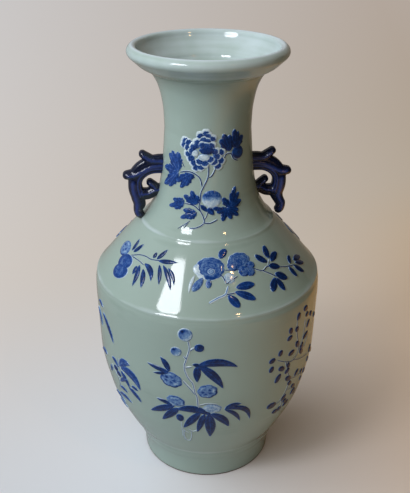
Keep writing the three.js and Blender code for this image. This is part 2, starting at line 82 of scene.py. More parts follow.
# Stations: share of the section's height, share of the way from its first radius to its second
FOOT_CURVE = [(0, 0), (0.29, 0.11), (0.58, 0.37), (0.77, 0.7), (1, 1)]
BODY_CURVE = [(0, 0), (0.034, 0.125), (0.118, 0.345), (0.202, 0.54), (0.286, 0.695), (0.35, 0.775),
              (0.45, 0.885), (0.54, 0.95), (0.79, 0.985), (0.9, 1)]
TURN_IN_CURVE = [(0, 0), (0.6, 0.18), (1, 1)]
SHOULDER_SWELL = 0.1
NECK_CURVE = [(0, 1), (0.037, 0.804), (0.064, 0.686), (0.1, 0.56), (0.15, 0.41), (0.25, 0.23),
              (0.42, 0.095), (0.63, 0)]
THROAT_CURVE = [(0, 0), (0.3, 0.05), (0.55, 0.2), (0.75, 0.42), (0.9, 0.72), (1, 1)]
LIP_CURVE = [(0.02, 0), (0.1, 0.05), (0.3, 0.13), (0.5, 0.24), (0.66, 0.37), (0.82, 0.5), (0.94, 0.6),
             (1, 0.72), (0.97, 0.85), (0.87, 0.95)]
DISH_CURVE = [(1.15, 0.955), (1.04, 0.88), (0.95, 0.76), (0.79, 0.63), (0.57, 0.5), (0.3, 0.36),
              (-0.2, 0.13)]


def smooth(stations, share):
    """Smooth curve through stations that never overshoots them."""
    x, y = (np.array(values, float) for values in zip(*stations))
    slope = np.diff(y) / np.diff(x)
    tangent = np.empty(len(x))
    tangent[0], tangent[-1] = slope[0], slope[-1]
    for i in range(1, len(x) - 1):
        level = slope[i - 1] * slope[i] <= 0
        tangent[i] = 0 if level else 2 / (1 / slope[i - 1] + 1 / slope[i])
    share = np.clip(share, x[0], x[-1])
    i = np.clip(np.searchsorted(x, share, side="right") - 1, 0, len(x) - 2)
    step = x[i + 1] - x[i]
    t = (share - x[i]) / step
    return ((2 * t ** 3 - 3 * t ** 2 + 1) * y[i] + (t ** 3 - 2 * t ** 2 + t) * step * tangent[i]
            + (3 * t ** 2 - 2 * t ** 3) * y[i + 1] + (t ** 3 - t ** 2) * step * tangent[i + 1])


def between(start, end, share):
    return start + (end - start) * share


def ease(low, high, value):
    """0 below low, 1 above high, and a smooth rise between them. It falls where high is the lesser."""
    t = np.clip((value - low) / (high - low), 0, 1)
    return t * t * (3 - 2 * t)


def hump(value, middle, breadth):
    """1 at the middle, falling away smoothly on both sides over the breadth."""
    return np.exp(-((value - middle) / breadth) ** 2)


def plain_radius(z):
    """Outer radius at height z, without the joint lines."""
    body, turn = (z - BODY_FOOT) / BODY_HEIGHT, BODY_CURVE[-1][0]
    slope = (z - SHOULDER_FOOT) / SHOULDER_HEIGHT
    neck, waist = (z - NECK_FOOT) / NECK_HEIGHT, NECK_CURVE[-1][0]
    return np.select(
        [z <= BODY_FOOT, body <= turn, z <= SHOULDER_FOOT, z <= NECK_FOOT, neck <= waist],
        [between(FOOT_RADIUS, FOOT_TOP_RADIUS, smooth(FOOT_CURVE, z / FOOT_HEIGHT)),
         between(FOOT_TOP_RADIUS, BELLY_RADIUS, smooth(BODY_CURVE, body)),
         between(BELLY_RADIUS, SHOULDER_EDGE_RADIUS, smooth(TURN_IN_CURVE, (body - turn) / (1 - turn))),
         between(SHOULDER_EDGE_RADIUS, NECK_BASE_RADIUS, slope - SHOULDER_SWELL * slope * (1 - slope)),
         between(WAIST_RADIUS, NECK_BASE_RADIUS, smooth(NECK_CURVE, neck))],
        between(WAIST_RADIUS, THROAT_RADIUS, smooth(THROAT_CURVE, (neck - waist) / (1 - waist))))


# Height, radius, slope and length along the side, sampled once for all that is laid on the vase. Its
# corners are softened over 13 samples, as a potter's rib does.
SAMPLE = 0.25
HEIGHTS = np.arange(0, MOUTH_FOOT + SAMPLE, SAMPLE)
SOFTENING = np.hanning(15)[1:-1]
PLAIN = np.convolve(np.pad(plain_radius(HEIGHTS), len(SOFTENING) // 2, mode="edge"),
                    SOFTENING / SOFTENING.sum(), mode="valid")
LEAN = np.arctan(-np.gradient(PLAIN, HEIGHTS))
CLIMB = np.concatenate([[0], np.cumsum(np.hypot(np.diff(PLAIN), np.diff(HEIGHTS)))])


# Settings

class VaseForm(bpy.types.PropertyGroup):
    """Sizes of the turned and laid pieces."""
    turns: IntProperty(name="Facets round the vase", description="Facets round each turned section",
                       default=256, min=32)
    bead_rise: FloatProperty(name="Joint line rise", description="How proud the slip of a joint stands",
                             default=1.0 * MM, unit="LENGTH")
    bead_width: FloatProperty(name="Joint line width", description="Half the width of a joint's slip",
                              default=2.6 * MM, unit="LENGTH")
    slip_rise: FloatProperty(name="Slip rise", description="How proud the painted slip stands",
                             default=1.3 * MM, unit="LENGTH")
    stem_width: FloatProperty(name="Stem width", description="Width of a painted stem",
                              default=2.7 * MM, unit="LENGTH")
    handle_depth: FloatProperty(name="Handle depth", description="Thickness of a handle across its arm",
                                default=19 * MM, unit="LENGTH")
    handle_grain: FloatProperty(name="Handle mesh size", description="Size of a facet on a handle",
                                default=0.75 * MM, unit="LENGTH")


class VaseFinish(bpy.types.PropertyGroup):
    """Colours of the glazes, the slip and the clay."""
    celadon: FloatVectorProperty(name="Celadon", description="Glaze at its common thickness",
                                 subtype="COLOR", size=4, default=linear("#94a59c"))
    celadon_thin: FloatVectorProperty(name="Thin celadon", description="Glaze over proud edges",
                                      subtype="COLOR", size=4, default=linear("#c2cfd4"))
    celadon_pooled: FloatVectorProperty(name="Pooled celadon", description="Glaze gathered in hollows",
                                        subtype="COLOR", size=4, default=linear("#71857a"))
    slip: FloatVectorProperty(name="Bare slip", description="White slip under the glaze",
                              subtype="COLOR", size=4, default=linear("#bccbd0"))
    wash: FloatVectorProperty(name="Cobalt wash", description="Thin cobalt on slip",
                              subtype="COLOR", size=4, default=linear("#6b8bb2"))
    cobalt: FloatVectorProperty(name="Cobalt", description="Cobalt at its common strength",
                                subtype="COLOR", size=4, default=linear("#194083"))
    cobalt_dark: FloatVectorProperty(name="Dark cobalt", description="Cobalt where the brush rested",
                                     subtype="COLOR", size=4, default=linear("#0e2149"))
    handle_cobalt: FloatVectorProperty(name="Handle cobalt", description="Glaze in a handle's hollows",
                                       subtype="COLOR", size=4, default=linear("#0c132b"))
    handle_ridge: FloatVectorProperty(name="Handle ridges", description="Glaze thinned on the ribs",
                                      subtype="COLOR", size=4, default=linear("#25366e"))
    clay: FloatVectorProperty(name="Bare clay", description="Iron-brown clay of the foot ring",
                              subtype="COLOR", size=4, default=linear("#5a4632"))


class VaseStage(bpy.types.PropertyGroup):
    """Camera, lights and the surface that the vase stands on."""
    distance: FloatProperty(name="Camera distance", description="Level distance from the vase's axis",
                            default=902 * MM, unit="LENGTH")
    height: FloatProperty(name="Camera height", description="Height of the lens above the floor",
                          default=763 * MM, unit="LENGTH")
    bearing: FloatProperty(name="Camera bearing", description="Angle round the vase from its front",
                           default=math.radians(-6), subtype="ANGLE")
    pitch: FloatProperty(name="Camera pitch", description="How far the camera looks down",
                         default=math.radians(26.47), subtype="ANGLE")
    roll: FloatProperty(name="Camera roll", description="Lean of the camera about its own axis",
                        default=math.radians(0.28), subtype="ANGLE")
    lens: FloatProperty(name="Lens", description="Focal length on a 36 mm frame", default=55.5)
    paper: FloatVectorProperty(name="Paper", description="Colour of the pale surface",
                               subtype="COLOR", size=4, default=linear("#e6eaf1"))
    # the warm paper colour is painted warm light: the side away from the window is tinted as if lit by the
    # warm lamp and the warm room
    paper_painted_warm_light: FloatVectorProperty(name="Warm paper", description="Colour away from the window",
                                    subtype="COLOR", size=4, default=linear("#e6bc8a"))
    wall: FloatVectorProperty(name="Wall", description="Colour of the far end of the sweep",
                              subtype="COLOR", size=4, default=linear("#c9c8c9"))
    # the warm wall is painted shade and warm light: the far end of the sweep is darker and warmer away from
    # the window
    wall_painted_warm_shade: FloatVectorProperty(name="Warm wall",
                                   description="Colour of the far end away from the window",
                                   subtype="COLOR", size=4, default=linear("#b5aaa3"))
    window_power: FloatProperty(name="Window power", description="Watts of the window light", default=22)
    sky: FloatProperty(name="Sky", description="Strength of the broad soft light high at the left",
                       default=2.1)
    lamp_power: FloatProperty(name="Lamp power", description="Watts of the small warm lamp", default=0.9)
    fill: FloatProperty(name="Fill", description="Strength of the light all round", default=0.25)


def form():
    return bpy.context.scene.vase_form


def finish():
    return bpy.context.scene.vase_finish


# Materials

def add(tree, kind, inputs=None, stops=(), **settings):
    """Adds a node, sets its settings, its colour stops and its inputs, and links what is a socket."""
    made = tree.nodes.new(kind)
    for key, value in settings.items():
        setattr(made, key, value)
    for i, (place, colour) in enumerate(stops):
        stop = made.color_ramp.elements[i] if i < 2 else made.color_ramp.elements.new(place)
        stop.position, stop.color = place, colour
    for key, value in (inputs or {}).items():
        if isinstance(value, bpy.types.NodeSocket):
            tree.links.new(value, made.inputs[key])
        else:
            made.inputs[key].default_value = value
    return made


def new_material(name, surface):
    """A material whose surface shader is set from plain values, its tree, that shader, and places on
    the object."""
    made = bpy.data.materials.new(name)
    made.use_nodes = True
    tree = made.node_tree
    tree.nodes.clear()
    shader = add(tree, "ShaderNodeBsdfPrincipled", surface)
    add(tree, "ShaderNodeOutputMaterial", {"Surface": shader.outputs[0]})
    return made, tree, shader, add(tree, "ShaderNodeTexCoord").outputs["Object"]


def grey(value):
    return (value, value, value, 1.0)


def celadon_over_stoneware():
    """Reduction-fired celadon on stoneware: a thick clear glaze with a little iron. It gives the eye
    a pale grey-green that is greener where it pools and whiter where it runs thin, with a wet
    gloss that wavers slightly."""
    colours = finish()
    made, tree, shader, place = new_material("celadon_over_stoneware", {"Roughness": 0.07, "IOR": 1.5})
    # clouds about 70 mm wide, and iron specks about 3 mm apart
    cloud = add(tree, "ShaderNodeTexNoise", {"Vector": place, "Scale": 14.0, "Detail": 3.0})
    speck = add(tree, "ShaderNodeTexVoronoi", {"Vector": place, "Scale": 320.0, "Randomness": 1.0})
    pool = add(tree, "ShaderNodeAttribute", attribute_name="pool")
    # throwing rings about 6 mm apart hold a little more glaze in their grooves
    flat = add(tree, "ShaderNodeMapping", {"Vector": place, "Scale": (0.06, 0.06, 1.0)})
    ring = add(tree, "ShaderNodeTexNoise", {"Vector": flat.outputs[0], "Scale": 170.0, "Detail": 2.0})
    uneven = add(tree, "ShaderNodeMath", {0: ring.outputs["Fac"], 1: 0.4, 2: cloud.outputs["Fac"]},
                 operation="MULTIPLY_ADD")
    centred = add(tree, "ShaderNodeMath", {0: uneven.outputs[0], 1: 0.7}, operation="SUBTRACT")
    thickness = add(tree, "ShaderNodeMath", {0: centred.outputs[0], 1: 0.55, 2: pool.outputs["Fac"]},
                    operation="MULTIPLY_ADD")
    tint = add(tree, "ShaderNodeValToRGB", {"Fac": thickness.outputs[0]}, stops=(
        (0.0, colours.celadon_thin), (1.0, colours.celadon_pooled), (0.38, colours.celadon),
        (0.58, colours.celadon)))
    dot = add(tree, "ShaderNodeValToRGB", {"Fac": speck.outputs["Distance"]}, stops=(
        (0.02, grey(0.8)), (0.1, grey(1.0))))
    mixed = add(tree, "ShaderNodeMix", {0: 0.5, 6: tint.outputs[0], 7: dot.outputs[0]},
                data_type="RGBA", blend_type="MULTIPLY")
    tree.links.new(mixed.outputs[2], shader.inputs["Base Color"])
    # the surface wavers over about 25 mm
    waver = add(tree, "ShaderNodeTexNoise", {"Vector": place, "Scale": 40.0, "Detail": 1.0})
    bump = add(tree, "ShaderNodeBump", {"Strength": 0.05, "Distance": 0.4 * MM,
                                        "Height": waver.outputs["Fac"]})
    tree.links.new(bump.outputs[0], shader.inputs["Normal"])
    return made


def cobalt_over_slip():
    """White slip trailed on the pot, painted in cobalt and glazed over: raised, glossy strokes
    with pale edges, deep blue where the brush was full and watery where it ran dry."""
    colours = finish()
    made, tree, shader, place = new_material("cobalt_over_slip", {"Roughness": 0.1, "IOR": 1.4})
    wash = add(tree, "ShaderNodeAttribute", attribute_name="wash")
    # brush strokes pool over about 5 mm and streak over about 1.5 mm
    pooling = add(tree, "ShaderNodeTexNoise", {"Vector": place, "Scale": 200.0, "Detail": 2.0})
    streak = add(tree, "ShaderNodeTexNoise", {"Vector": place, "Scale": 650.0, "Detail": 1.0})
    both = add(tree, "ShaderNodeMath", {0: pooling.outputs["Fac"], 1: streak.outputs["Fac"]},
               operation="ADD")
    centred = add(tree, "ShaderNodeMath", {0: both.outputs[0], 1: 1.0}, operation="SUBTRACT")
    load = add(tree, "ShaderNodeMath", {0: centred.outputs[0], 1: 0.42, 2: wash.outputs["Fac"]},
               operation="MULTIPLY_ADD")
    tint = add(tree, "ShaderNodeValToRGB", {"Fac": load.outputs[0]}, stops=(
        (0.05, colours.slip), (1.0, colours.cobalt_dark), (0.35, colours.wash), (0.7, colours.cobalt)))
    tree.links.new(tint.outputs[0], shader.inputs["Base Color"])
    bump = add(tree, "ShaderNodeBump", {"Strength": 0.25, "Distance": 0.3 * MM,
                                        "Height": pooling.outputs["Fac"]})
    tree.links.new(bump.outputs[0], shader.inputs["Normal"])
    return made


def cobalt_over_scrolls():
    """Dark cobalt glaze over moulded scrolls: nearly black in the hollows, bluer where it drew
    thin over the ribs, with a wet gloss."""
    colours = finish()
    made, tree, shader, place = new_material("cobalt_over_scrolls", {"Roughness": 0.2, "IOR": 1.5})
    ridge = add(tree, "ShaderNodeAttribute", attribute_name="ridge")
    # the glaze breaks in patches about 4 mm wide
    patch = add(tree, "ShaderNodeTexNoise", {"Vector": place, "Scale": 260.0, "Detail": 3.0})
    centred = add(tree, "ShaderNodeMath", {0: patch.outputs["Fac"], 1: 0.5}, operation="SUBTRACT")
    load = add(tree, "ShaderNodeMath", {0: centred.outputs[0], 1: 0.9, 2: ridge.outputs["Fac"]},
               operation="MULTIPLY_ADD")
    tint = add(tree, "ShaderNodeValToRGB", {"Fac": load.outputs[0]}, stops=(
        (0.15, colours.handle_cobalt), (0.95, colours.handle_ridge)))
    tree.links.new(tint.outputs[0], shader.inputs["Base Color"])
    bump = add(tree, "ShaderNodeBump", {"Strength": 0.5, "Distance": 0.6 * MM,
                                        "Height": patch.outputs["Fac"]})
    tree.links.new(bump.outputs[0], shader.inputs["Normal"])
    return made


def bare_stoneware():
    """Unglazed fired stoneware of the foot ring: a dry iron-brown clay with fine grit."""
    made, tree, shader, place = new_material("bare_stoneware", {"Roughness": 0.85})
    # grit about 1.4 mm apart
    grit = add(tree, "ShaderNodeTexNoise", {"Vector": place, "Scale": 700.0, "Detail": 4.0})
    tint = add(tree, "ShaderNodeValToRGB", {"Fac": grit.outputs["Fac"]}, stops=(
        (0.3, linear("#3b2c1f")), (0.7, finish().clay)))
    tree.links.new(tint.outputs[0], shader.inputs["Base Color"])
    bump = add(tree, "ShaderNodeBump", {"Strength": 0.5, "Distance": 0.3 * MM,
                                        "Height": grit.outputs["Fac"]})
    tree.links.new(bump.outputs[0], shader.inputs["Normal"])
    return made


def studio_paper():
    """Matt paper sweep, pale on the window's side and painted warmer away from it, as painted warm light.
    Far behind the vase it shows its own colour to the eye and in gloss, as a wall that has light of its own
    does, painted darker and warmer away from the window as painted shade and warm light."""
    stage = bpy.context.scene.vase_stage
    made, tree, shader, place = new_material("studio_paper", {"Roughness": 0.9})
    x, y, _ = add(tree, "ShaderNodeSeparateXYZ", {0: place}).outputs
    path = add(tree, "ShaderNodeLightPath").outputs
    eye, gloss = path["Is Camera Ray"], path["Is Glossy Ray"]
    share = add(tree, "ShaderNodeMapRange", {"Value": x, "From Min": -0.1, "From Max": 0.6})
    # painted warm light: the paper turns warmer away from the window
    tint = add(tree, "ShaderNodeMix", {0: share.outputs[0], 6: stage.paper, 7: stage.paper_painted_warm_light},
               data_type="RGBA")
    # painted reflection: in gloss the paper is darker on the window's side, and brighter and warmer away
    # from it, which puts a warm painted sheen on the vase's right edges
    painted_reflection_tint = add(tree, "ShaderNodeMix", {0: share.outputs[0], 6: grey(0.5), 7: (1.6, 1.2, 0.55, 1)},
                data_type="RGBA")
    dim = add(tree, "ShaderNodeMix", {0: gloss, 6: grey(1), 7: painted_reflection_tint.outputs[2]}, data_type="RGBA")
    base = add(tree, "ShaderNodeMix", {0: 1, 6: tint.outputs[2], 7: dim.outputs[2]},
               data_type="RGBA", blend_type="MULTIPLY")
    # painted shade and warm light: the paper's own glow turns darker and warmer away from the window
    side = add(tree, "ShaderNodeMapRange", {"Value": x, "From Min": -0.9, "From Max": 1})
    near = add(tree, "ShaderNodeMix", {0: side.outputs[0], 6: linear("#dad6d4"), 7: linear("#a99880")},
               data_type="RGBA")
    far = add(tree, "ShaderNodeMix", {0: side.outputs[0], 6: stage.wall, 7: stage.wall_painted_warm_shade},
              data_type="RGBA")
    away = add(tree, "ShaderNodeMapRange", {"Value": y, "From Min": 0.6, "From Max": 3})
    wall = add(tree, "ShaderNodeMix", {0: away.outputs[0], 6: near.outputs[2], 7: far.outputs[2]},
               data_type="RGBA")
    glow = add(tree, "ShaderNodeEmission", {"Color": wall.outputs[2]})
    # the wall starts nearer on the window's side, where the vase casts no shadow
    slant = add(tree, "ShaderNodeMath", {0: x, 1: -0.5, 2: y}, operation="MULTIPLY_ADD")
    depth = add(tree, "ShaderNodeMapRange", {"Value": slant.outputs[0], "From Min": -0.2, "From Max": 0.75},
                interpolation_type="SMOOTHSTEP")
    # paper far off and far to the right lies in less light than the vase does, and gives less back
    right = add(tree, "ShaderNodeMapRange", {"Value": x, "From Min": 0.35, "From Max": 1},
                interpolation_type="SMOOTHSTEP")
    remote = add(tree, "ShaderNodeMath", {0: depth.outputs[0], 1: right.outputs[0]}, operation="MAXIMUM")
    unseen = add(tree, "ShaderNodeMath", {0: 1, 1: eye}, operation="SUBTRACT")
    dusk = add(tree, "ShaderNodeMath", {0: remote.outputs[0], 1: unseen.outputs[0]}, operation="MULTIPLY")
    dusky = add(tree, "ShaderNodeMix", {0: dusk.outputs[0], 6: base.outputs[2], 7: (0.16, 0.12, 0.07, 1)},
                data_type="RGBA")
    tree.links.new(dusky.outputs[2], shader.inputs["Base Color"])
    seen = add(tree, "ShaderNodeMath", {0: gloss, 1: 0.38, 2: eye}, operation="MULTIPLY_ADD")
    shown = add(tree, "ShaderNodeMath", {0: depth.outputs[0], 1: seen.outputs[0]}, operation="MULTIPLY")
    both = add(tree, "ShaderNodeMixShader", {0: shown.outputs[0], 1: shader.outputs[0],
                                             2: glow.outputs[0]})
    tree.links.new(both.outputs[0], tree.nodes["Material Output"].inputs["Surface"])
    return made


def material(name):
    """The named material, made when it is first asked for."""
    makers = {m.__name__: m for m in (celadon_over_stoneware, cobalt_over_slip, cobalt_over_scrolls,
                                      bare_stoneware, studio_paper)}
    return bpy.data.materials.get(name) or makers[name]()


# Meshes

# The foot ring is bare of glaze below the one and beyond the other, in millimetres
BARE_BELOW, BARE_BEYOND = 1.9, 74
# Edges with more than so many degrees between their faces are sharp
SHARP = 40
# Glaze pools for what is not outside: on a flat, inside, on the lip's underside, its roll and its crest
FLAT_POOL, THIN_POOL, UNDER_POOL, ROLL_POOL, CREST_POOL = 0.5, 0.2, 0.55, 0.25, 0.0


def new_piece(name, points, faces, materials, **values):
    """An object from points in metres, faces, material names and one number per point by name."""
    mesh = bpy.data.meshes.new(name)
    mesh.from_pydata(np.asarray(points).tolist(), [], [list(f) for f in faces])
    for key, numbers in values.items():
        layer = mesh.attributes.new(key, "FLOAT", "POINT")
        layer.data.foreach_set("value", np.asarray(numbers, np.float32))
    mesh.update()
    mesh.shade_smooth()
    made = bpy.data.objects.new(name, mesh)
    bpy.context.scene.collection.objects.link(made)
    for one in materials:
        mesh.materials.append(material(one))
    return made


def seat(piece, nodes):
    """Rides a piece on the vase in place of the model's nodes."""
    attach(piece, "root")
    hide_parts(*nodes)


def grid_faces(rows, columns, closed):
    """Faces between rows of points, each row of so many columns, closed into a ring or open."""
    last = columns if closed else columns - 1
    return [(r * columns + c, r * columns + (c + 1) % columns, (r + 1) * columns + (c + 1) % columns,
             (r + 1) * columns + c) for r in range(rows - 1) for c in range(last)]


def glazed_radius(z):
    """Outer radius with the lines of slip at the joints and a groove under the mouth, in millimetres."""
    proud, width = form().bead_rise / MM, form().bead_width / MM
    beads = sum(hump(z, joint, width * soft) for joint, soft in JOINTS)
    return np.interp(z, HEIGHTS, PLAIN) + proud * beads - 0.5 * hump(z, GROOVE, 0.8)


def glaze_pool(z):
    """How thick the glaze lies at height z: 0 is thin, 0.5 common, 1 pooled. It runs off the joints
    and gathers below them, in the groove under the mouth and just above the floor."""
    crest = sum(hump(z, joint, 2.4 * soft) for joint, soft in JOINTS)
    gathered = hump(z, GROOVE, 1.5) + 0.5 * hump(z, 4, 3)
    gathered = gathered + 0.5 * sum(hump(z, joint - 7, 3) for joint, _ in JOINTS)
    return 0.5 - 0.22 * crest + 0.25 * gathered


def wall_at(z):
    """Thickness of the wall at height z, which thins up the shoulder."""
    return between(WALL, NECK_WALL, np.clip((z - SHOULDER_FOOT) / SHOULDER_HEIGHT, 0, 1))


def outer_side(start, end, step=1.0):
    """Points up the outside of a section as radius, height and glaze pool."""
    z = np.linspace(start, end, int((end - start) / step) + 1)
    return np.stack([glazed_radius(z), z, glaze_pool(z)], 1)


def inner_side(start, end, step=4.0):
    """Points down the inside of a section, from start to end, as radius, height and glaze pool."""
    z = np.linspace(start, end, int((start - end) / step) + 2)
    return np.stack([np.interp(z, HEIGHTS, PLAIN) - wall_at(z), z, np.full(len(z), THIN_POOL)], 1)


def turned(name, node, outline, wiped=False):
    """Turns a closed outline of radius, height and pool round the vase's axis, in place of a node. A
    wiped piece has no glaze on its foot ring."""
    turns = form().turns
    angle = np.arange(turns) / turns * 2 * math.pi
    rows = [np.stack([r * np.sin(angle), -r * np.cos(angle), np.full(turns, z)], 1) for r, z, _ in outline]
    faces = grid_faces(len(outline), turns, True)
    on_axis = outline[0][0] == 0
    if not on_axis:
        last = (len(outline) - 1) * turns
        faces += [(last + c, last + (c + 1) % turns, (c + 1) % turns, c) for c in range(turns)]
    pool = np.repeat([p for _, _, p in outline], turns)
    piece = new_piece(name, np.concatenate(rows) * MM, faces, ["celadon_over_stoneware", "bare_stoneware"],
                      pool=pool)
    if on_axis:
        mesh = bmesh.new()
        mesh.from_mesh(piece.data)
        bmesh.ops.remove_doubles(mesh, verts=mesh.verts, dist=1e-6)
        mesh.to_mesh(piece.data)
        mesh.free()
    if wiped:
        for face in piece.data.polygons:
            bare = face.center.z < BARE_BELOW * MM and face.center.xy.length > BARE_BEYOND * MM
            face.material_index = int(bare)
    piece.data.set_sharp_from_angle(angle=math.radians(SHARP))
    seat(piece, [node])


def rounded(points, step=1.2):
    """Smooth run through points of any length, with a point about every step."""
    points = np.asarray(points, float)
    ends = np.concatenate([[2 * points[0] - points[1]], points, [2 * points[-1] - points[-2]]])
    run = []
    for i in range(len(points) - 1):
        a, b, c, d = ends[i:i + 4]
        count = max(1, round(float(np.linalg.norm((c - b)[:2])) / step))
        t = (np.arange(count) / count)[:, None]
        run.append(0.5 * (2 * b + (c - a) * t + (2 * a - 5 * b + 4 * c - d) * t ** 2
                          + (3 * b - 3 * c + d - a) * t ** 3))
    return np.concatenate([*run, points[-1:]])


# Slip laid on the vase

def on_vase(bearing, height, lift):
    """Points in metres at bearings in degrees and heights in millimetres, lifted off the glaze."""
    angle, lean = np.radians(bearing), np.interp(height, HEIGHTS, LEAN)
    reach = np.interp(height, HEIGHTS, PLAIN) + lift * np.cos(lean)
    return np.stack([reach * np.sin(angle), -reach * np.cos(angle), height + lift * np.sin(lean)], -1) * MM


def span(first, second):
    """Millimetres round the vase and up its side from one place to another."""
    radius = np.interp((first[1] + second[1]) / 2, HEIGHTS, PLAIN)
    up = np.interp(second[1], HEIGHTS, CLIMB) - np.interp(first[1], HEIGHTS, CLIMB)
    return math.radians(second[0] - first[0]) * radius, up


def moved(place, across, up):
    """Bearings and heights so many millimetres round the vase and up its side from a place."""
    height = np.interp(np.interp(place[1], HEIGHTS, CLIMB) + up, CLIMB, HEIGHTS)
    return place[0] + np.degrees(across / np.interp(height, HEIGHTS, PLAIN)), height


# How far points lie apart along a leaf and out from a dome's middle, and along a toothed leaf, and how
# far the edge of a leaf or a dome lies below the glaze, in millimetres
STEP, FINE_STEP, SUNK = 0.8, 0.5, 0.35
# Points across a leaf or a stem
ACROSS = 13


class Spray:
    """Strokes of slip gathered into one mesh, with how much cobalt each point takes."""

    def __init__(self, turn, strength):
        self.turn, self.strength = turn, strength
        self.points, self.faces, self.wash = [], [], []
        self.count = 0
        self.rise = form().slip_rise / MM

    def lay(self, bearing, height, lift, wash, closed=False):
        """Adds a patch of rows and columns of points, its edge sunk just into the glaze."""
        bearing, height, lift, wash = np.broadcast_arrays(bearing, height, lift, wash)
        rows, columns = bearing.shape
        self.points.append(on_vase(bearing + self.turn, height, lift).reshape(-1, 3))
        self.wash.append(np.clip(wash * self.strength, 0, 1).ravel())
        faces = np.array(grid_faces(rows, columns, closed)) + self.count
        self.faces.extend(faces.tolist())
        self.count += rows * columns

    def leaf(self, base, tip, width, bow=0.0, fill=1.0, lift=1.0, lead=0.85, blunt=0.8, teeth=0):
        """A leaf from its base to its tip, bowed sideways by a share of its length. Lead moves its
        widest place, blunt rounds its ends, and teeth point from its edges towards the tip."""
        dx, dy = span(base, tip)
        length = math.hypot(dx, dy)
        u = np.linspace(0, 1, max(9, int(length / (FINE_STEP if teeth else STEP))))[:, None]
        v = np.linspace(-1, 1, ACROSS)[None, :]
        half = width / 2 * np.sin(math.pi * u ** lead) ** blunt
        if teeth:
            # each tooth widens towards the tip, then falls back
            notch = (u * teeth) % 1
            half = half * (0.72 + 0.36 * notch * ease(1.0, 0.85, notch))
        off, turn = bow * 4 * u * (1 - u), bow * 4 * (1 - 2 * u)
        tx, ty = dx - dy * turn, dy + dx * turn
        norm = np.hypot(tx, ty)
        bearing, height = moved(base, dx * u - dy * off - ty / norm * v * half,
                                dy * u + dx * off + tx / norm * v * half)
        edge = (1 - abs(v)) * half
        # a leaf thins where it is less than 3.2 mm wide
        full = np.minimum(1, half / 1.6) * self.rise * lift
        wash = fill * ease(0.05, 0.6, edge) * (0.8 + 0.2 * np.sin(math.pi * u))
        # a broad leaf has a paler rib, and veins 5 mm apart that slant towards its tip
        if width > 6.5:
            rib = hump(v * half, 0, 0.3) * ease(0.02, 0.15, u)
            vein = ease(0.4, 0.95, np.cos((u * length - abs(v) * half * 1.3) / 2.6 * math.pi))
            wash = wash * (1 - 0.22 * rib) * (1 - 0.13 * vein * ease(0.15, 0.5, abs(v)))
        self.lay(bearing, height, full * (1 - abs(v) ** 3) ** 0.6 - SUNK * abs(v) ** 6, wash)

    def leaves(self, rows, **look):
        """Leaves by rows of bearing and height of base and tip, width, and bow and fill if given."""
        for a0, z0, a1, z1, *rest in rows:
            self.leaf((a0, z0), (a1, z1), *rest, **look)

    def lobed(self, base, tips, width, fill):
        """A leaf cut into toothed lobes that spread from its base."""
        for i, tip in enumerate(tips):
            self.leaf(base, tip, width, fill=fill, lift=1 + 0.06 * i, lead=1.1, blunt=0.65, teeth=3)

    def disc(self, centre, wide, tall, paint, tilt=0.0, scallops=0, lift=1.0, turn=0.0, fill=1.0):
        """A low dome with an even or scalloped edge, painted by a function of reach and angle."""
        # points about 1 mm apart round the edge
        angle = np.linspace(0, 2 * math.pi, max(28, int(3.2 * (wide + tall))), endpoint=False)[None, :]
        reach = np.linspace(0.02, 1, max(8, int(max(wide, tall) / STEP)))[:, None]
        edge = 1
        if scallops:
            edge = 1 - 0.6 / scallops * (1 - abs(np.sin(scallops / 2 * (angle - turn))))
        x, y = wide * reach * edge * np.cos(angle), tall * reach * edge * np.sin(angle)
        c, s = math.cos(tilt), math.sin(tilt)
        bearing, height = moved(centre, x * c - y * s, x * s + y * c)
        dome = self.rise * lift * (1 - reach ** 4) ** 0.5 - SUNK * reach ** 8
        self.lay(bearing, height, dome, fill * paint(reach, angle - turn), closed=True)

    def petal(self, centre, heart, wide=6.2):
        """A petal with a deep foot towards the flower's heart and a broad pale scalloped rim. The
        nearer to the heart it lies, the prouder it stands."""
        dx, dy = span(heart, centre)

        def paint(reach, angle):
            rim = reach + 0.28 * np.cos(angle) + 0.06 * np.cos(9 * angle)
            return ease(0.78, 0.55, rim) * (0.86 + 0.14 * np.cos(7 * angle))
        self.disc(centre, wide, wide * 0.9, paint, scallops=5, lift=1.3 - 0.014 * math.hypot(dx, dy),
                  turn=math.atan2(dy, dx))

    def stem(self, places, width=None, fill=1.15, line=-0.08, broad=0.45):
        """A trailed line of slip with a dark line painted along it, off its middle and so broad, in
        shares of half the width."""
        width = width or form().stem_width / MM
        run = rounded([(math.radians(a) * np.interp(z, HEIGHTS, PLAIN), z, a) for a, z in places])
        a, z = run[:, 2], run[:, 1]
        radius = np.interp(z, HEIGHTS, PLAIN)
        lean = np.interp(z, HEIGHTS, LEAN)
        dx, dy = np.radians(np.gradient(a)) * radius, np.gradient(z) / np.cos(lean)
        norm = np.hypot(dx, dy)[:, None]
        v = np.linspace(-1, 1, ACROSS)[None, :]
        ends = np.minimum(np.arange(len(a)), np.arange(len(a))[::-1])[:, None]
        half = width / 2 * np.minimum(1, 0.45 + 0.3 * ends)
        dx, dy = dx[:, None], dy[:, None]
        bearing = a[:, None] - np.degrees(dy / norm * v * half / radius[:, None])
        height = z[:, None] + dx / norm * v * half * np.cos(lean)[:, None]
        lift = 0.6 * self.rise * (1 - abs(v) ** 2.5) - 0.3 * abs(v) ** 6
        self.lay(bearing, height, lift, fill * ease(broad + 0.15, broad - 0.15, abs(v - line)))

    def stems(self, paths, **look):
        """Stems along many paths, alike in width, fill and line."""
        for path in paths:
            self.stem(path, **look)

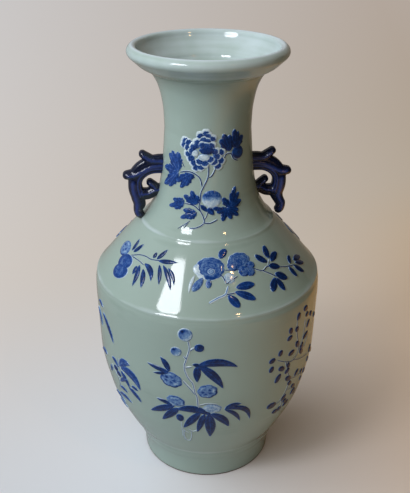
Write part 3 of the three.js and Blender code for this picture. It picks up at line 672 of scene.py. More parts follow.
    def piece(self, name, nodes):
        """Makes the finished object, in place of the model's nodes."""
        made = new_piece(name, np.concatenate(self.points), self.faces, ["cobalt_over_slip"],
                         wash=np.concatenate(self.wash))
        seat(made, nodes)


def fruit(reach, angle):
    """A fruit or a small leaf, filled to its thin pale edge and a little paler on its crown."""
    return ease(0.98, 0.86, reach) * (1 - 0.18 * hump(reach, 0.35, 0.25))


def blossom(reach, angle):
    """A full flower head, its overlapping petals parted by paler arcs and deeper at its rim."""
    arcs = sum(hump(reach, middle + 0.1 * abs(np.cos(count * angle / 2 + turn)), 0.045)
               for middle, count, turn in ((0.26, 5, 0.4), (0.5, 6, 1.2), (0.74, 7, 0.0)))
    breaks = 0.5 + 0.5 * np.cos(3 * angle + 9 * reach)
    deep = 0.8 + 0.2 * ease(0.6, 0.85, reach) * ease(-0.6, 0.6, -np.sin(angle + 0.6))
    return deep * ease(0.98, 0.88, reach) * (1 - 0.4 * arcs * breaks)


def pale_blossom(reach, angle):
    """An open flower of seven petals in thin wash, their seams and lower rims deeper, with dark
    stamens about a pale heart."""
    seam = hump(np.sin(3.5 * angle), 0, 0.22) * ease(0.5, 0.75, reach)
    x, y = reach * np.cos(angle) + 0.06, reach * np.sin(angle) - 0.06
    off, way = np.hypot(x, y), np.arctan2(y, x)
    stamens = hump(off, 0.36, 0.17) * (0.2 + 0.8 * ease(-0.8, 0.5, np.cos(5 * way + 0.9)))
    stamens = stamens * (0.75 + 0.25 * np.cos(2 * way + 1))
    pale = hump(off, 0.64, 0.1) * ease(-0.2, 0.8, np.cos(3 * way + 2))
    low = hump(reach, 0.84, 0.08) * ease(-0.3, 0.8, -np.sin(angle + 0.3))
    line = 0.16 * hump(reach, 0.88, 0.06)
    return (0.46 + 0.2 * seam + 0.4 * stamens - 0.2 * pale + 0.36 * low + line) * ease(1, 0.94, reach)


def outlined_bud(reach, angle):
    """A bud washed from blue at its upper left to bare slip at its lower right, with a dark spot
    and a thin outline."""
    x, y = reach * np.cos(angle), reach * np.sin(angle)
    wash = (0.36 + 0.3 * (y - x)) * ease(0.92, 0.72, reach)
    spot = 0.7 * np.exp(-((x + 0.34) ** 2 + (y - 0.52) ** 2) / 0.025)
    outline = 0.5 * hump(reach, 0.9, 0.06) * ease(-0.2, 0.8, np.cos(angle + 0.4))
    return (0.1 + wash + spot + outline) * ease(1, 0.96, reach)


def bare_bud(reach, angle):
    """Bare slip with a thin outline and a thinner ring inside it."""
    return 0.16 + 0.2 * hump(reach, 0.8, 0.07) + 0.1 * hump(reach, 0.35, 0.07)


def dark_bud(reach, angle):
    """A bud filled with deep blue, paler along one side."""
    return 0.95 * ease(0.98, 0.84, reach) * (1 - 0.3 * hump(reach, 0.6, 0.15) * ease(0, 1, -np.cos(angle)))


def half_open(reach, angle):
    """A bud painted deep along its top and fading to bare slip below."""
    top = ease(-0.3, 0.45, reach * np.sin(angle))
    streaks = 0.12 * np.cos(34 * reach * np.cos(angle))
    return (0.14 + (0.6 + streaks) * top) * ease(1, 0.92, reach)


def bowl(reach, angle):
    """Bare slip with a faint wash along its upper rim."""
    return 0.1 + 0.2 * ease(0.7, 0.95, reach) * ease(0, 0.6, np.sin(angle))


def band(reach, angle):
    """Deep blue that is a little thinner at the edge."""
    return 1.0 - 0.4 * ease(0.75, 1.0, reach)


def eye(reach, angle):
    """A flower's heart: a pale dot and a pale ring in wash."""
    return 0.7 - 0.6 * hump(reach, 0.75, 0.12) - 0.4 * hump(reach, 0.25, 0.15)


# A place is degrees round the vase from a spray's own front, then the height in millimetres

def neck_spray(spray):
    """Peony in full bloom over a half-open bud, with toothed leaves."""
    spray.stems((
        [(1.5, 448), (0.5, 434.5), (-4.5, 422.5), (-7.5, 415), (-8, 405.5), (-9, 397.5), (-4, 386.5),
         (-3.5, 380), (-10, 375), (-17, 373.5)], [(0.5, 434.5), (4.5, 435.5), (10, 445.5)],
        [(-6.5, 422.5), (-9, 432), (-15.5, 437.5), (-24.5, 439.5), (-35, 436.5)],
        [(-8, 393.5), (-15.5, 399), (-26, 400.5)], [(-3.5, 380.5), (3, 380.5), (10, 384)],
        [(20, 456), (23.5, 461), (29.5, 461), (33.5, 454), (40, 450.5)]))
    spray.stems((
        [(-28, 371.5), (-17.5, 381.5)], [(-22.5, 373), (-19, 379)], [(-29.5, 444), (-33.5, 451)],
        [(-3.5, 383.5), (-1, 388), (0.5, 393)]), width=1.8)
    for place in (
            (-2, 488), (-9, 485), (0.5, 485), (6, 481.5), (-5, 480.5), (0, 479), (-13.5, 476.5), (5, 473.5),
            (-7, 474), (-1, 473.5), (-30, 476.5), (-31.5, 471.5), (-25.5, 475), (-26.5, 469), (-19, 471),
            (-15, 473), (-21, 465.5), (-25.5, 461), (-22, 455.5), (-17.5, 450), (-14.5, 444.5), (-9, 445.5),
            (-10.5, 452), (-3.5, 450), (10, 465.5), (17.5, 464), (12.5, 459), (17, 453.5), (9, 452),
            (13, 447), (4, 455)):
        spray.petal(place, (-3, 463))
    spray.disc((-0.5, 466.5), 10.5, 5, band, scallops=7, lift=1.35)
    spray.disc((-15.5, 462.5), 4.5, 4.5, bowl, lift=1.45)
    spray.disc((-4.5, 458), 8, 4.5, bowl, lift=1.45)
    # the lobes on the spray's right, away from the window, are filled deeper than those on its left: painted
    # shade
    for base, tips, width, fill in (
            ((-37, 437), ((-50.5, 460), (-40, 461), (-56, 455.5), (-65, 436), (-62.5, 414.5),
             (-52, 415)), 14, 0.9),
            ((-20, 438), ((-41, 424), (-34, 417.5), (-27, 421), (-20.5, 430)), 11, 0.95),
            ((-13, 400), ((-19, 417), (-28, 410), (-11.5, 412)), 10.5, 0.95),
            ((-26, 400), ((-46.5, 392.5), (-42.5, 402), (-38, 391.5), (-35, 404.5)), 9, 0.95),
            ((-11, 391.5), ((-29, 383), (-27, 392.5), (-19.5, 383.5)), 9, 0.95),
            ((29, 464), ((15, 479.5), (19.5, 486), (28, 484)), 12, 1.1),
            ((38, 466), ((31, 480), (35, 490), (41, 486.5), (49.5, 480)), 12, 1.1),
            ((25, 395), ((17.5, 408.5), (34, 420), (38.5, 412), (40.5, 402)), 10.5, 1.05),
            ((21, 396), ((9.5, 391.5), (14.5, 381.5), (25, 382.5), (34, 385), (35, 391)), 10, 1.05)):
        spray.lobed(base, tips, width, fill)
    spray.disc((40.5, 460.5), 9.5, 8.5, fruit, lift=1.2)
    spray.disc((5, 407.5), 12.5, 11, half_open, lift=1.1)
    spray.leaves(((-8, 400.5, 1, 392.5, 6), (0, 397.5, 7, 389, 8), (5, 396.5, 17, 395, 6)), lift=1.35)


def shoulder_flowers(spray):
    """Two camellia heads on a branch that runs on into small blunt leaves."""
    spray.stems((
        [(29.5, 333), (35.5, 328), (40.5, 330), (48.5, 325), (54.5, 321.5), (62.5, 317.5)],
        [(35.5, 328), (39, 324), (43, 318.5)], [(11, 335.5), (16, 334.5), (20.5, 334)],
        [(7, 332.5), (9.5, 329), (11, 322.5)], [(11, 322.5), (15, 326), (18.5, 328.5)],
        [(10, 313), (16.5, 313.5)], [(41.5, 331), (44, 335.5)]), width=2.4)
    spray.stem([(1, 305.5), (6, 310), (10, 313), (12, 320.5)], width=4, fill=0.55, line=0.25, broad=0.3)
    # the leaves on the spray's right, away from the window, are filled deeper than those on its left:
    # painted shade
    for a0, z0, a1, z1, width, fill in (
            (8.5, 346, 14, 354.5, 10, 1), (-2.5, 329, -8.5, 316, 10, 0.7), (1, 328, 0.5, 319, 8, 0.7),
            (16, 318, 27.5, 318, 11, 1), (15, 314.5, 26, 304, 10, 1), (11, 312, 16.5, 299.5, 11, 1),
            (44.5, 336, 46, 349, 10, 1.2), (42, 333.5, 35, 344, 9, 1.2), (44.5, 333, 53.5, 338, 10, 1.2),
            (41, 330, 49.5, 324.5, 9, 1.2), (43, 321, 50.5, 311.5, 11, 1.2), (42, 318, 36, 306.5, 11, 1.2),
            (42.5, 317, 44.5, 302.5, 9, 1.2), (59, 321, 63, 328, 8, 1.25), (64, 321.5, 74, 317.5, 9, 1.25),
            (64, 318.5, 73, 310.5, 8, 1.25), (61, 317.5, 67, 305, 8.5, 1.25),
            (56, 320, 58.5, 307, 8, 1.25)):
        spray.leaf((a0, z0), (a1, z1), width, bow=0.03, fill=fill, lead=1.1, blunt=0.55)
    # the bare slip at the flower's left and the pale leaf under it are real white slip that also stands in
    # for a painted highlight, the window's reflection on slip facing it
    spray.disc((-0.8, 336.5), 16, 13.5, bowl, scallops=5, lift=0.85)
    spray.leaf((-7.3, 331), (-10, 314), 5, bow=-0.05, fill=0.1, lift=0.9)
    spray.disc((2, 337.3), 18.5, 15, blossom, scallops=11, fill=0.88)
    spray.disc((22, 341.5), 15.5, 12, blossom, scallops=9, turn=0.6, fill=0.88)
    for a, z, size in ((17, 338.5, 8), (29, 336, 6), (23.5, 332, 8), (27.5, 330, 6.5)):
        spray.disc((a, z), size, 0.9 * size, blossom, scallops=7, lift=1.2, fill=0.9)
    spray.disc((2.5, 334.5), 5.5, 4.5, eye, lift=1.35)
    spray.disc((13.5, 327.5), 7.5, 7, bare_bud, lift=0.6)


def shoulder_bamboo(spray):
    """Two fruits on a twig with narrow hanging leaves, and a pale flower behind them."""
    spray.stems((
        [(-57.5, 331), (-50.5, 336), (-44.5, 337.5), (-39.5, 337), (-32.5, 338.5), (-21, 340)],
        [(-56, 331), (-48.5, 331), (-43, 329.5)]), width=2.2)
    spray.disc((-68.5, 331.5), 13, 10.5, pale_blossom, lift=0.8)
    spray.leaves((
        (-59.5, 334.5, -60, 348.5, 6, 0), (-57.5, 334.5, -52.5, 346.5, 6.4, 0),
        (-38.5, 338.5, -37.5, 345, 5.5, 0), (-35.5, 338.5, -30, 350.5, 6, 0),
        (-34, 338, -20, 340.5, 6.4, 0), (-47.5, 326, -47.5, 316.5, 7, 0),
        (-46, 328, -43.5, 306.5, 7.5, 0.04), (-42, 326, -37.5, 308.5, 8, 0.04),
        (-43, 331, -33, 317.5, 8, 0.16), (-32, 335, -27.5, 316.5, 6, 0.03),
        (-29.5, 335.5, -19.5, 314, 6.4, 0.06), (-25.5, 334, -18.5, 319, 5, 0.1)), fill=1.05)
    spray.disc((-59.5, 322.5), 15.5, 11, fruit, tilt=0.2, fill=0.85)
    spray.disc((-58.5, 312.5), 16, 10.5, fruit, tilt=0.2, lift=1.15, fill=0.85)


def body_flowers(spray):
    """Buds and open flowers on a bare stem over a skirt of long pointed leaves."""
    spray.stems((
        [(-8.5, 262), (-8, 250), (-9.5, 234.5), (-10.5, 222.5), (-9, 209), (-6.5, 199), (-5.5, 186),
         (-4.5, 179.5), (-4, 160)], [(-11.5, 203), (-8, 192), (-5.5, 183)],
        [(-8, 247.5), (-7, 250), (-5.5, 253)], [(-9.5, 234.5), (-11, 240)],
        [(-10.5, 222.5), (-7, 224.5)]), width=3.5, fill=1, line=-0.2, broad=0.23)
    spray.stem([(-3.5, 165), (1, 168), (5.5, 166)], width=2.2, fill=1.1)
    spray.stems((
        [(-13.5, 131.5), (-13.5, 113.5), (-14, 98.5)], [(-12.5, 113.5), (-13, 99), (-12, 88.5)],
        [(-13.5, 115), (-10, 108)]), width=1.8, fill=0.2)
    spray.stems((
        [(-12, 114.5), (-13, 104), (-13, 91.5), (-10, 89.5), (-8.5, 102.5), (-8.5, 112.5)],
        [(-10, 117.5), (-7.5, 113), (-4.5, 117.5)]), width=1.8, fill=0.6, line=0, broad=0.2)
    spray.disc((-10, 270), 9.5, 9.5, outlined_bud)
    spray.disc((-14.5, 244.5), 7.5, 7, outlined_bud)
    spray.disc((-3.5, 252.5), 6.5, 6, dark_bud)
    spray.leaves((
        (-18, 213, -30, 218.5, 7, 0.05), (-18, 213, -22.5, 233, 9, -0.05), (-18, 212, -27, 206, 5, 0.05),
        (-4.5, 226, 15, 222, 12.5, 0.14), (-4, 227, 8, 191.5, 13, 0.08),
        (-4, 227, -4.5, 201.5, 10.5, -0.03), (-6.8, 228.5, -1.5, 225.5, 6, 0),
        (-16, 160, -31, 137.5, 12, 0), (-14, 157, -24.5, 126.5, 12, 0), (-17, 160, -26, 166, 7, 0),
        (-15, 153, 3, 146, 14, 0.16), (-3, 153, -12.5, 118.5, 12, 0), (-1, 150, -5, 111.5, 10, 0),
        (1, 150, 2, 101.5, 15, 0.03), (2, 150, 12, 122, 13, 0.1), (9, 156, 18, 163, 8, 0.12),
        (9, 157, 23.5, 127.5, 9, 0.28), (9, 156, 18, 129, 7, 0.12)))
    spray.disc((-17.3, 201), 15.5, 12, pale_blossom, tilt=-0.25, scallops=7, turn=0.3)
    spray.disc((0.5, 188), 13.5, 11, pale_blossom, tilt=0.15, scallops=7, turn=0.8)
    spray.disc((-15.4, 168), 13, 9.5, pale_blossom, tilt=-0.2, scallops=7, lift=0.9, turn=2.8,
               fill=0.85)
    spray.disc((3, 159), 12.5, 8.5, pale_blossom, scallops=7, lift=0.9, turn=1.6, fill=0.5)
    spray.disc((-14, 138), 5.5, 7.5, dark_bud, lift=1.1)


def body_berries(spray):
    """A fine branch of small oval leaves."""
    spray.stems((
        [(49.5, 258.5), (50, 240.5), (52.5, 212.5), (48.5, 201.5), (42.5, 206), (36.5, 215)],
        [(57.5, 251), (57, 231), (54.5, 212.5)], [(52.5, 212.5), (58.5, 209.5), (62, 221)],
        [(48.5, 201.5), (55.5, 194), (65.5, 187.5)], [(42.5, 206), (44.5, 189.5), (47, 173.5)],
        [(47, 173.5), (54.5, 166.5), (62, 166.5)], [(46.5, 154), (54, 149)],
        [(47.5, 172), (46.5, 154), (43, 139), (38, 136.5)],
        [(44.5, 140.5), (46, 130), (44.5, 122)]), width=2, fill=0.9)
    for a, z, length, width, lean in (
            (33.5, 217, 11, 8, 0.2), (38.5, 223.5, 10, 8, 1.2), (33.3, 204, 10, 8, 1.1),
            (40, 198, 13, 8, -0.5), (44.9, 198, 9, 7, -1.2), (44.4, 189.5, 11, 7, 0.5),
            (38, 185, 15, 9, 0.9), (44.8, 250, 11, 8, -1.1), (44.4, 239.5, 11, 8, 0.2),
            (49.8, 246.5, 10, 8, -1.2), (50.3, 264.5, 12, 9, 1.4), (56.8, 268.5, 13, 9, -0.4),
            (59, 257, 11, 8, -0.3), (64.5, 250.5, 12, 8, -0.7), (46.8, 214.5, 14, 8, 0.1),
            (51.4, 222, 13, 9, -1.0), (55.8, 205, 13, 8, -0.9), (59.6, 224.5, 16, 8, 0.3),
            (46.1, 175, 16, 9, -0.6), (48.3, 164, 12, 8, -0.8), (53.5, 151, 14, 8, -0.6),
            (53.5, 174.5, 12, 8, 0.7), (60, 166, 13, 8, -0.9), (37.5, 138, 18, 12, -0.2),
            (46.5, 140.5, 13, 9, 1.0), (42, 121, 13, 9, -0.4), (55.5, 138.5, 13, 9, 0.7),
            (61.7, 239.5, 13, 8, 0.9), (69.8, 188, 14, 9, 0.6), (67.7, 174, 13, 9, -0.7),
            (55.8, 213.5, 11, 8, 0.8), (45.5, 121.5, 12, 8, -1.1), (51, 123.5, 14, 9, 0.4),
            (49, 131, 12, 8, -0.7), (73, 181, 16, 8, -0.7), (66, 158, 15, 9, -0.9),
            (58.5, 133, 15, 9, -0.8), (72, 238, 13, 8, -0.4), (63, 149, 14, 8, -0.9)):
        spray.disc((a, z), length / 2, width / 2, fruit, tilt=lean, fill=1.2)


def body_grasses(spray):
    """Long arching blades round a small bud."""
    spray.stems((
        [(-58, 180.5), (-52.5, 162), (-55.5, 141)], [(-50, 188), (-54, 180)],
        [(-51, 200), (-50, 187), (-46, 173), (-43.5, 160)]), width=2.2, fill=0.9)
    spray.leaves((
        (-69.5, 263, -63, 260, 7, 0, 0.8), (-74, 247, -67.5, 224, 8, 0.1, 0.75),
        (-64.5, 251, -53.5, 217, 9, 0.06, 0.9), (-73, 182, -63, 187, 8, 0.05, 0.8),
        (-57, 194, -50.5, 185.5, 7, 0.05, 0.8), (-49.5, 188.5, -41, 200.5, 13, 0.2, 0.75),
        (-49, 187, -35.5, 167, 15, 0.25, 0.8), (-49, 183, -43.5, 160, 9, 0.05, 0.85),
        (-44.5, 162, -36.5, 144, 9, 0.05, 0.85), (-42, 167, -37, 164, 6, 0.05, 0.8),
        (-51.5, 161, -44, 175.5, 7, 0.05, 0.8), (-53.5, 149, -46.5, 147, 7, 0.1, 0.8),
        (-58, 130.5, -45, 130, 8, 0.12, 0.8), (-59, 178, -60.5, 164, 7, 0, 0.8),
        (-66, 122, -54, 118, 7, 0.08, 0.8), (-66, 107, -55, 104, 6, 0.05, 0.75)))
    spray.disc((-54, 179.5), 5.5, 4.5, dark_bud)
    spray.disc((-51.5, 173.5), 5.5, 4.5, dark_bud)


# Each node's design and how far its front is turned from the front of the vase, in degrees
PLACINGS = {
    "neck": (("neck_spray_front", neck_spray, -6), ("neck_spray_back", neck_spray, 174)),
    "shoulder": (
        ("shoulder_spray_left", shoulder_bamboo, -6), ("shoulder_spray_front", shoulder_flowers, -6),
        ("shoulder_spray_right", shoulder_bamboo, 164), ("shoulder_spray_back", shoulder_flowers, 176)),
    "body": (
        ("body_spray_front", body_flowers, -6), ("body_spray_front_right", body_berries, -6),
        ("body_spray_back_right", body_flowers, 126), ("body_spray_back_left", body_berries, 162),
        ("body_spray_front_left", body_grasses, -6)),
}
# How strong the cobalt was mixed for each section
STRENGTH = {"neck": 0.92, "shoulder": 0.9, "body": 1.0}


def lay_sprays(section):
    """Lays and paints a section's sprays, each in place of its node."""
    for node, design, turn in PLACINGS[section]:
        spray = Spray(turn, STRENGTH[section])
        design(spray)
        spray.piece("painted_" + node, [node])


# Handles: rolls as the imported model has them, with stations in percent of the handle's height. A
# station is reach beyond the neck's waist, height above the tail's end, and width. A rib follows
# stations, a share of their half width towards the outside.
HANDLE_HEIGHT, TAIL_DROP = 90.7, 2
ARM = ((-7, 79.7, 27), (11, 79.8, 26), (22.5, 77.5, 24), (32.5, 72.2, 23), (39.7, 64, 21.5),
       (42.2, 54, 19.5), (41.7, 44, 20), (39.2, 34.2, 19.3))
TAIL = ((39.2, 34.2, 19.3), (39, 24.3, 17.6), (42, 14.9, 13.7), (41.3, 8.2, 12.4), (39.4, 5.8, 11.5))
ROOT = ((-7, 42.5, 14.3), (13, 41.9, 16), (24.3, 36.7, 15.8), (36.5, 36.4, 17.6))
CURL = ((12, 43, 13.2), (17, 49, 11), (21.8, 53.2, 10.1))
HORN = ((22, 87.4, 13.7), (30.9, 94.8, 10.1))
KNOB = ((42, 65, 16.5), (53.3, 64.8, 11.7))
# One rib runs out into the horn, one into the knob, two follow the arm's inside, one crowns the tail.
# The last number is a rib's half breadth in millimetres.
RIBS = ((((-7, 86, 1), (10, 86, 1), (20, 87.5, 1), (29, 93, 1)), 0, 2.4),
        (((-7, 79.5, 1), (12, 79, 1), (24, 75.5, 1), (34, 70, 1), (43, 66, 1), (51, 65, 1)), 0, 2.4),
        (ARM, -0.37, 1.3), (ARM, -0.76, 1.2), ((*ARM[5:], *TAIL[1:4]), 0.3, 3.4), (ROOT, 0.25, 1.4),
        (CURL, 0, 1.4))
ROLLS = (ARM, TAIL, ROOT, CURL, HORN, KNOB)
# How far each tail was bent outwards by hand, in millimetres
TAIL_LEAN = {"left_handle": -2.5, "right_handle": 3.5}
# Faces swell over the first, a rib stands the second above the hollows, which are the third deep, the
# swell leaves the fourth for the ribs, and the root runs the last into the neck, in millimetres
SWELL, RIB_RISE, HOLLOW, RIB_ROOM, ROOT_SINK = 6.5, 2.2, 0.9, 1.2, 1.5


def along_roll(stations):
    """Reach from the vase's axis, height and width along a roll, in millimetres."""
    run = rounded(np.array(stations) * HANDLE_HEIGHT / 100)
    return run + [WAIST_RADIUS, NECK_FOOT - TAIL_DROP, 0]


def depth_in(places, run, share=None):
    """How deep places lie in a roll, or their distance from the line a share of its half width out."""
    line, widths = run[:, :2], run[:, 2]
    if share is not None:
        along = np.gradient(line, axis=0)
        along /= np.linalg.norm(along, axis=1)[:, None]
        line = line + along[:, ::-1] * [-1, 1] * (share * widths / 2)[:, None]
        widths = np.zeros(len(run))
    best = np.full(len(places), -np.inf)
    for a, b, wide, next_wide in zip(line, line[1:], widths, widths[1:]):
        along = b - a
        t = np.clip(((places - a) @ along) / max(along @ along, 1e-9), 0, 1)
        off = np.linalg.norm(places - a - t[:, None] * along, axis=1)
        best = np.maximum(best, between(wide, next_wide, t) / 2 - off)
    return best


def handle_block(name):
    """A slab with the outline of all rolls, in one skin of even facets."""
    depth = form().handle_depth
    mesh = bmesh.new()
    for roll in ROLLS:
        for x, z, width in along_roll(roll) * MM:
            at = Matrix.Translation((x, 0, z)) @ Matrix.Rotation(math.pi / 2, 4, "X")
            bmesh.ops.create_cone(mesh, cap_ends=True, segments=40, radius1=width / 2, radius2=width / 2,
                                  depth=depth, matrix=at)
    block = bpy.data.meshes.new(name + "_block")
    mesh.to_mesh(block)
    mesh.free()
    rough = bpy.data.objects.new(name + "_block", block)
    bpy.context.scene.collection.objects.link(rough)
    remesh = rough.modifiers.new("grain", "REMESH")
    remesh.mode, remesh.voxel_size = "VOXEL", form().handle_grain
    skin = bpy.data.meshes.new_from_object(rough.evaluated_get(bpy.context.evaluated_depsgraph_get()))
    bpy.data.objects.remove(rough)
    points = np.empty(len(skin.vertices) * 3)
    skin.vertices.foreach_get("co", points)
    edges = np.empty(len(skin.edges) * 2, int)
    skin.edges.foreach_get("vertices", edges)
    faces = [tuple(face.vertices) for face in skin.polygons]
    bpy.data.meshes.remove(skin)
    return points.reshape(-1, 3) / MM, edges.reshape(-1, 2).T, faces


def make_handle(name, side):
    """A scroll pressed from rolls of clay: its faces swell from the edge and are ribbed along."""
    points, (a, b), faces = handle_block(name)
    places = points[:, [0, 2]]
    inward = np.max([depth_in(places, along_roll(roll)) for roll in ROLLS], axis=0)
    swell = np.sqrt(1 - (1 - np.clip(inward / SWELL, 0, 1)) ** 2)
    relief = np.max([hump(depth_in(places, along_roll(line), share), 0, breadth)
                     for line, share, breadth in RIBS], axis=0)
    half = form().handle_depth / MM / 2
    level = points[:, 1] / half
    # 1 on the faces, 0 on the rolls' outer sides
    face = ease(0.8, 0.99, abs(level))
    points[:, 1] = level * ((half - RIB_ROOM) * (0.3 + 0.7 * swell)
                            + face * (RIB_RISE * relief - HOLLOW) * swell)
    # a tail's bend begins 26 mm above the neck's foot and is full at 14 mm
    points[:, 0] += TAIL_LEAN[name] * ease(26, 14, points[:, 2] - NECK_FOOT)
    radius = np.hypot(points[:, 0], points[:, 1])
    least = np.interp(points[:, 2], HEIGHTS, PLAIN) - ROOT_SINK
    points[:, :2] *= np.maximum(1, least / radius)[:, None]
    # three passes that draw each point towards its neighbours, as glaze fills a mould's edges
    count = np.bincount(np.concatenate([a, b]), minlength=len(points))[:, None]
    for _ in range(3):
        total = np.zeros_like(points)
        np.add.at(total, a, points[b])
        np.add.at(total, b, points[a])
        points = 0.5 * points + 0.5 * total / count
    if side < 0:
        points[:, :2] *= -1
    return new_piece("moulded_" + name, points * MM, faces, ["cobalt_over_scrolls"],
                     ridge=relief * face * swell)


# Stage

def area_light(name, place, target, size, watts, colour, lean=0.0, roll=0.0):
    """A rectangular lamp at a place, facing a target, then leant up and rolled by so many degrees."""
    data = bpy.data.lights.new(name, "AREA")
    data.shape, data.size, data.size_y = "RECTANGLE", *size
    data.energy, data.color = watts, linear(colour)[:3]
    lamp = bpy.data.objects.new(name, data)
    bpy.context.scene.collection.objects.link(lamp)
    lamp.location = place
    own = Matrix.Rotation(math.radians(roll), 4, "Z") @ Matrix.Rotation(math.radians(lean), 4, "X")
    facing = (Vector(target) - Vector(place)).to_track_quat("-Z", "Y").to_matrix().to_4x4()
    lamp.rotation_euler = (facing @ own).to_euler()


def around(bearing, elevation, distance, centre):
    """A place at a bearing and an elevation, in degrees, from a centre."""
    a, e = math.radians(bearing), math.radians(elevation)
    return Vector(centre) + distance * Vector((math.sin(a) * math.cos(e), -math.cos(a) * math.cos(e),
                                               math.sin(e)))


def light_room(stage):
    """The room's own light: cool and strongest high at the window's side, and warm from the other."""
    world = bpy.data.worlds.new("room")
    bpy.context.scene.world = world
    world.use_nodes = True
    tree = world.node_tree
    tree.nodes.clear()
    way = add(tree, "ShaderNodeTexCoord").outputs["Generated"]
    x = add(tree, "ShaderNodeSeparateXYZ", {0: way}).outputs["X"]
    share = add(tree, "ShaderNodeMapRange", {"Value": x, "From Min": -0.7, "From Max": 0.5})
    tint = add(tree, "ShaderNodeMix", {0: share.outputs[0], 6: linear("#e6edf4"), 7: linear("#857450")},
               data_type="RGBA")
    towards = add(tree, "ShaderNodeVectorMath", {0: way, 1: around(-80, 50, 1, (0, 0, 0))},
                  operation="DOT_PRODUCT")
    glow = add(tree, "ShaderNodeMapRange", {"Value": towards.outputs["Value"], "From Min": 0.45,
                                            "To Min": stage.fill, "To Max": stage.fill + stage.sky},
               interpolation_type="SMOOTHSTEP")
    # the room is darker in the gloss than the light that it gives
    gloss = add(tree, "ShaderNodeLightPath").outputs["Is Glossy Ray"]
    dim = add(tree, "ShaderNodeMapRange", {"Value": gloss, "To Min": 1, "To Max": 0.22})
    level = add(tree, "ShaderNodeMath", {0: glow.outputs[0], 1: dim.outputs[0]}, operation="MULTIPLY")
    sky = add(tree, "ShaderNodeBackground", {"Color": tint.outputs[2], "Strength": level.outputs[0]})
    add(tree, "ShaderNodeOutputWorld", {"Surface": sky.outputs[0]})


def place_camera(stage):
    """The camera at its bearing, distance and height, looking down at the vase."""
    camera = bpy.data.cameras.new("camera")
    camera.lens, camera.sensor_width = stage.lens, 36
    # the vase stands 2.3 pixels right of the middle of a frame 493 pixels high
    camera.shift_x = -2.3 / 493
    camera.clip_end = 50
    holder = bpy.data.objects.new("camera", camera)
    bpy.context.scene.collection.objects.link(holder)
    turn = Matrix.Rotation(stage.bearing, 4, "Z")
    holder.matrix_world = (turn @ Matrix.Translation((0, -stage.distance, stage.height))
                           @ Matrix.Rotation(math.pi / 2 - stage.pitch, 4, "X")
                           @ Matrix.Rotation(stage.roll, 4, "Z"))
    bpy.context.scene.camera = holder


# Operators

class VASE_OT_sections(bpy.types.Operator):
    """Turn the five glazed sections of the vase"""
    bl_idname = "vase.sections"
    bl_label = "Turned sections"

    def execute(self, context):
        inner, floor = FOOT_RADIUS - FOOT_RING, FOOT_RECESS + FLOOR_THICKNESS
        well = inner_side(FOOT_HEIGHT, floor + WALL)
        corner = [(well[-1][0] - WALL * (1 - math.cos(t)), floor + WALL * (1 - math.sin(t)))
                  for t in np.linspace(0.3, 1.57, 5)]
        ring = [(0, FOOT_RECESS), (inner - 6, FOOT_RECESS), (inner - 4.5, FOOT_RECESS - 0.8),
                (inner - 1.2, 1.2), (inner - 0.3, 0.2), (inner + 0.8, 0), (FOOT_RADIUS - 1.4, 0),
                (FOOT_RADIUS - 0.4, 0.35)]
        foot = [*((*place, FLAT_POOL) for place in ring), *outer_side(1.2, FOOT_HEIGHT), *well,
                *((*place, FLAT_POOL) for place in (*corner, (0, floor)))]
        turned("glazed_foot", "foot", foot, wiped=True)
        for name, node, start, end, step in (
                ("glazed_body", "lower_body", BODY_FOOT, SHOULDER_FOOT, 1.5),
                ("glazed_shoulder", "shoulder", SHOULDER_FOOT, NECK_FOOT, 1.0),
                ("glazed_neck", "neck", NECK_FOOT, MOUTH_FOOT, 1.0)):
            turned(name, node, [*outer_side(start, end, step), *inner_side(end, start)])
        roll, basin = LIP_RADIUS - THROAT_RADIUS, LIP_INNER_RADIUS - THROAT_RADIUS
        lip = [(THROAT_RADIUS + roll * out, MOUTH_FOOT + MOUTH_HEIGHT * up,
                UNDER_POOL if out < 0.5 else ROLL_POOL) for out, up in LIP_CURVE]
        dish = [(THROAT_RADIUS + basin * out, MOUTH_FOOT + MOUTH_HEIGHT * up, THIN_POOL)
                for out, up in DISH_CURVE]
        rim = [*lip, (LIP_CREST_RADIUS, TOP, CREST_POOL), *dish,
               (THROAT_RADIUS - NECK_WALL, MOUTH_FOOT, THIN_POOL)]
        turned("glazed_mouth", "mouth_rim", rounded(rim, 0.8).tolist())
        return {"FINISHED"}


class VASE_OT_handles(bpy.types.Operator):
    """Mould the two scroll handles"""
    bl_idname = "vase.handles"
    bl_label = "Scroll handles"

    def execute(self, context):
        for name, side in (("left_handle", -1), ("right_handle", 1)):
            seat(make_handle(name, side), [name])
        return {"FINISHED"}


class VASE_OT_neck_sprays(bpy.types.Operator):
    """Lay and paint the peony sprays on the neck"""
    bl_idname = "vase.neck_sprays"
    bl_label = "Neck sprays"

    def execute(self, context):
        lay_sprays("neck")
        return {"FINISHED"}


class VASE_OT_shoulder_sprays(bpy.types.Operator):
    """Lay and paint the sprays on the shoulder"""
    bl_idname = "vase.shoulder_sprays"
    bl_label = "Shoulder sprays"

    def execute(self, context):
        lay_sprays("shoulder")
        return {"FINISHED"}


class VASE_OT_body_sprays(bpy.types.Operator):
    """Lay and paint the sprays on the body"""
    bl_idname = "vase.body_sprays"
    bl_label = "Body sprays"

    def execute(self, context):
        lay_sprays("body")
        return {"FINISHED"}


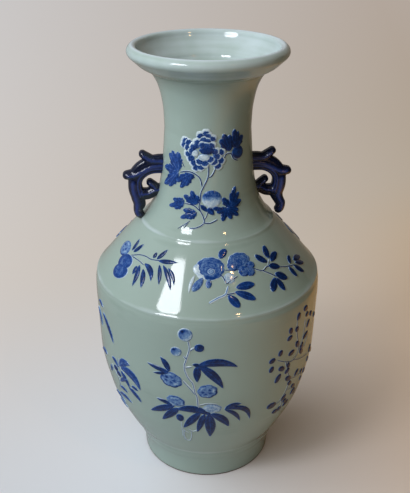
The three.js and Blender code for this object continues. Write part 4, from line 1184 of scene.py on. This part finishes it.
class VASE_OT_stage(bpy.types.Operator):
    """Set up the paper sweep, the lights and the camera"""
    bl_idname = "vase.stage"
    bl_label = "Stage"

    def execute(self, context):
        stage = context.scene.vase_stage
        # the paper's bend, how far behind the vase it starts, and half the paper's width, in metres
        bend, back, width = 2.2, 1.4, 6
        curve = [(back + bend * math.sin(a), bend - bend * math.cos(a))
                 for a in np.linspace(0, math.pi / 2, 25)]
        run = [(-4, 0), *curve, (back + bend, 4)]
        points = [(x, y, z) for y, z in run for x in (-width, width)]
        faces = [(2 * i, 2 * i + 1, 2 * i + 3, 2 * i + 2) for i in range(len(run) - 1)]
        floor = new_piece("paper_sweep", points, faces, ["studio_paper"])
        shoulder, lamp = (0, 0, 0.32), (0.03, -0.13, 0.33)
        area_light("window", around(-50.4, 43.8, 1.6, shoulder), shoulder, (0.45, 0.93),
                   stage.window_power, "#f4f8ff", lean=65.6, roll=16.3)
        area_light("warm_lamp", around(33, 50, 1.2, lamp), lamp, (0.045, 0.045), stage.lamp_power, "#ffc890")
        light_room(stage)
        place_camera(stage)
        context.scene.view_settings.view_transform = "Standard"
        return {"FINISHED"}


class VASE_PT_panel(bpy.types.Panel):
    """The vase's pieces and settings, in the sidebar"""
    bl_idname = "VASE_PT_panel"
    bl_label = "Vase"
    bl_space_type = "VIEW_3D"
    bl_region_type = "UI"
    bl_category = "Vase"

    def draw(self, context):
        for operator in OPERATORS:
            self.layout.operator(operator.bl_idname)
        for group in (context.scene.vase_form, context.scene.vase_finish, context.scene.vase_stage):
            box = self.layout.box()
            for key in group.bl_rna.properties.keys():
                if key not in ("rna_type", "name"):
                    box.prop(group, key)


GROUPS = {"vase_form": VaseForm, "vase_finish": VaseFinish, "vase_stage": VaseStage}
OPERATORS = (VASE_OT_stage, VASE_OT_sections, VASE_OT_handles, VASE_OT_neck_sprays, VASE_OT_shoulder_sprays,
             VASE_OT_body_sprays)


def register():
    for one in (*GROUPS.values(), *OPERATORS, VASE_PT_panel):
        bpy.utils.register_class(one)
    for name, group in GROUPS.items():
        setattr(bpy.types.Scene, name, PointerProperty(type=group))


def unregister():
    for name in GROUPS:
        delattr(bpy.types.Scene, name)
    for one in (VASE_PT_panel, *OPERATORS[::-1], *list(GROUPS.values())[::-1]):
        bpy.utils.unregister_class(one)


def main():
    register()
    bpy.ops.vase.stage()
    bpy.ops.vase.sections()
    bpy.ops.vase.handles()
    bpy.ops.vase.neck_sprays()
    bpy.ops.vase.shoulder_sprays()
    bpy.ops.vase.body_sprays()


if __name__ == "__main__":
    main()
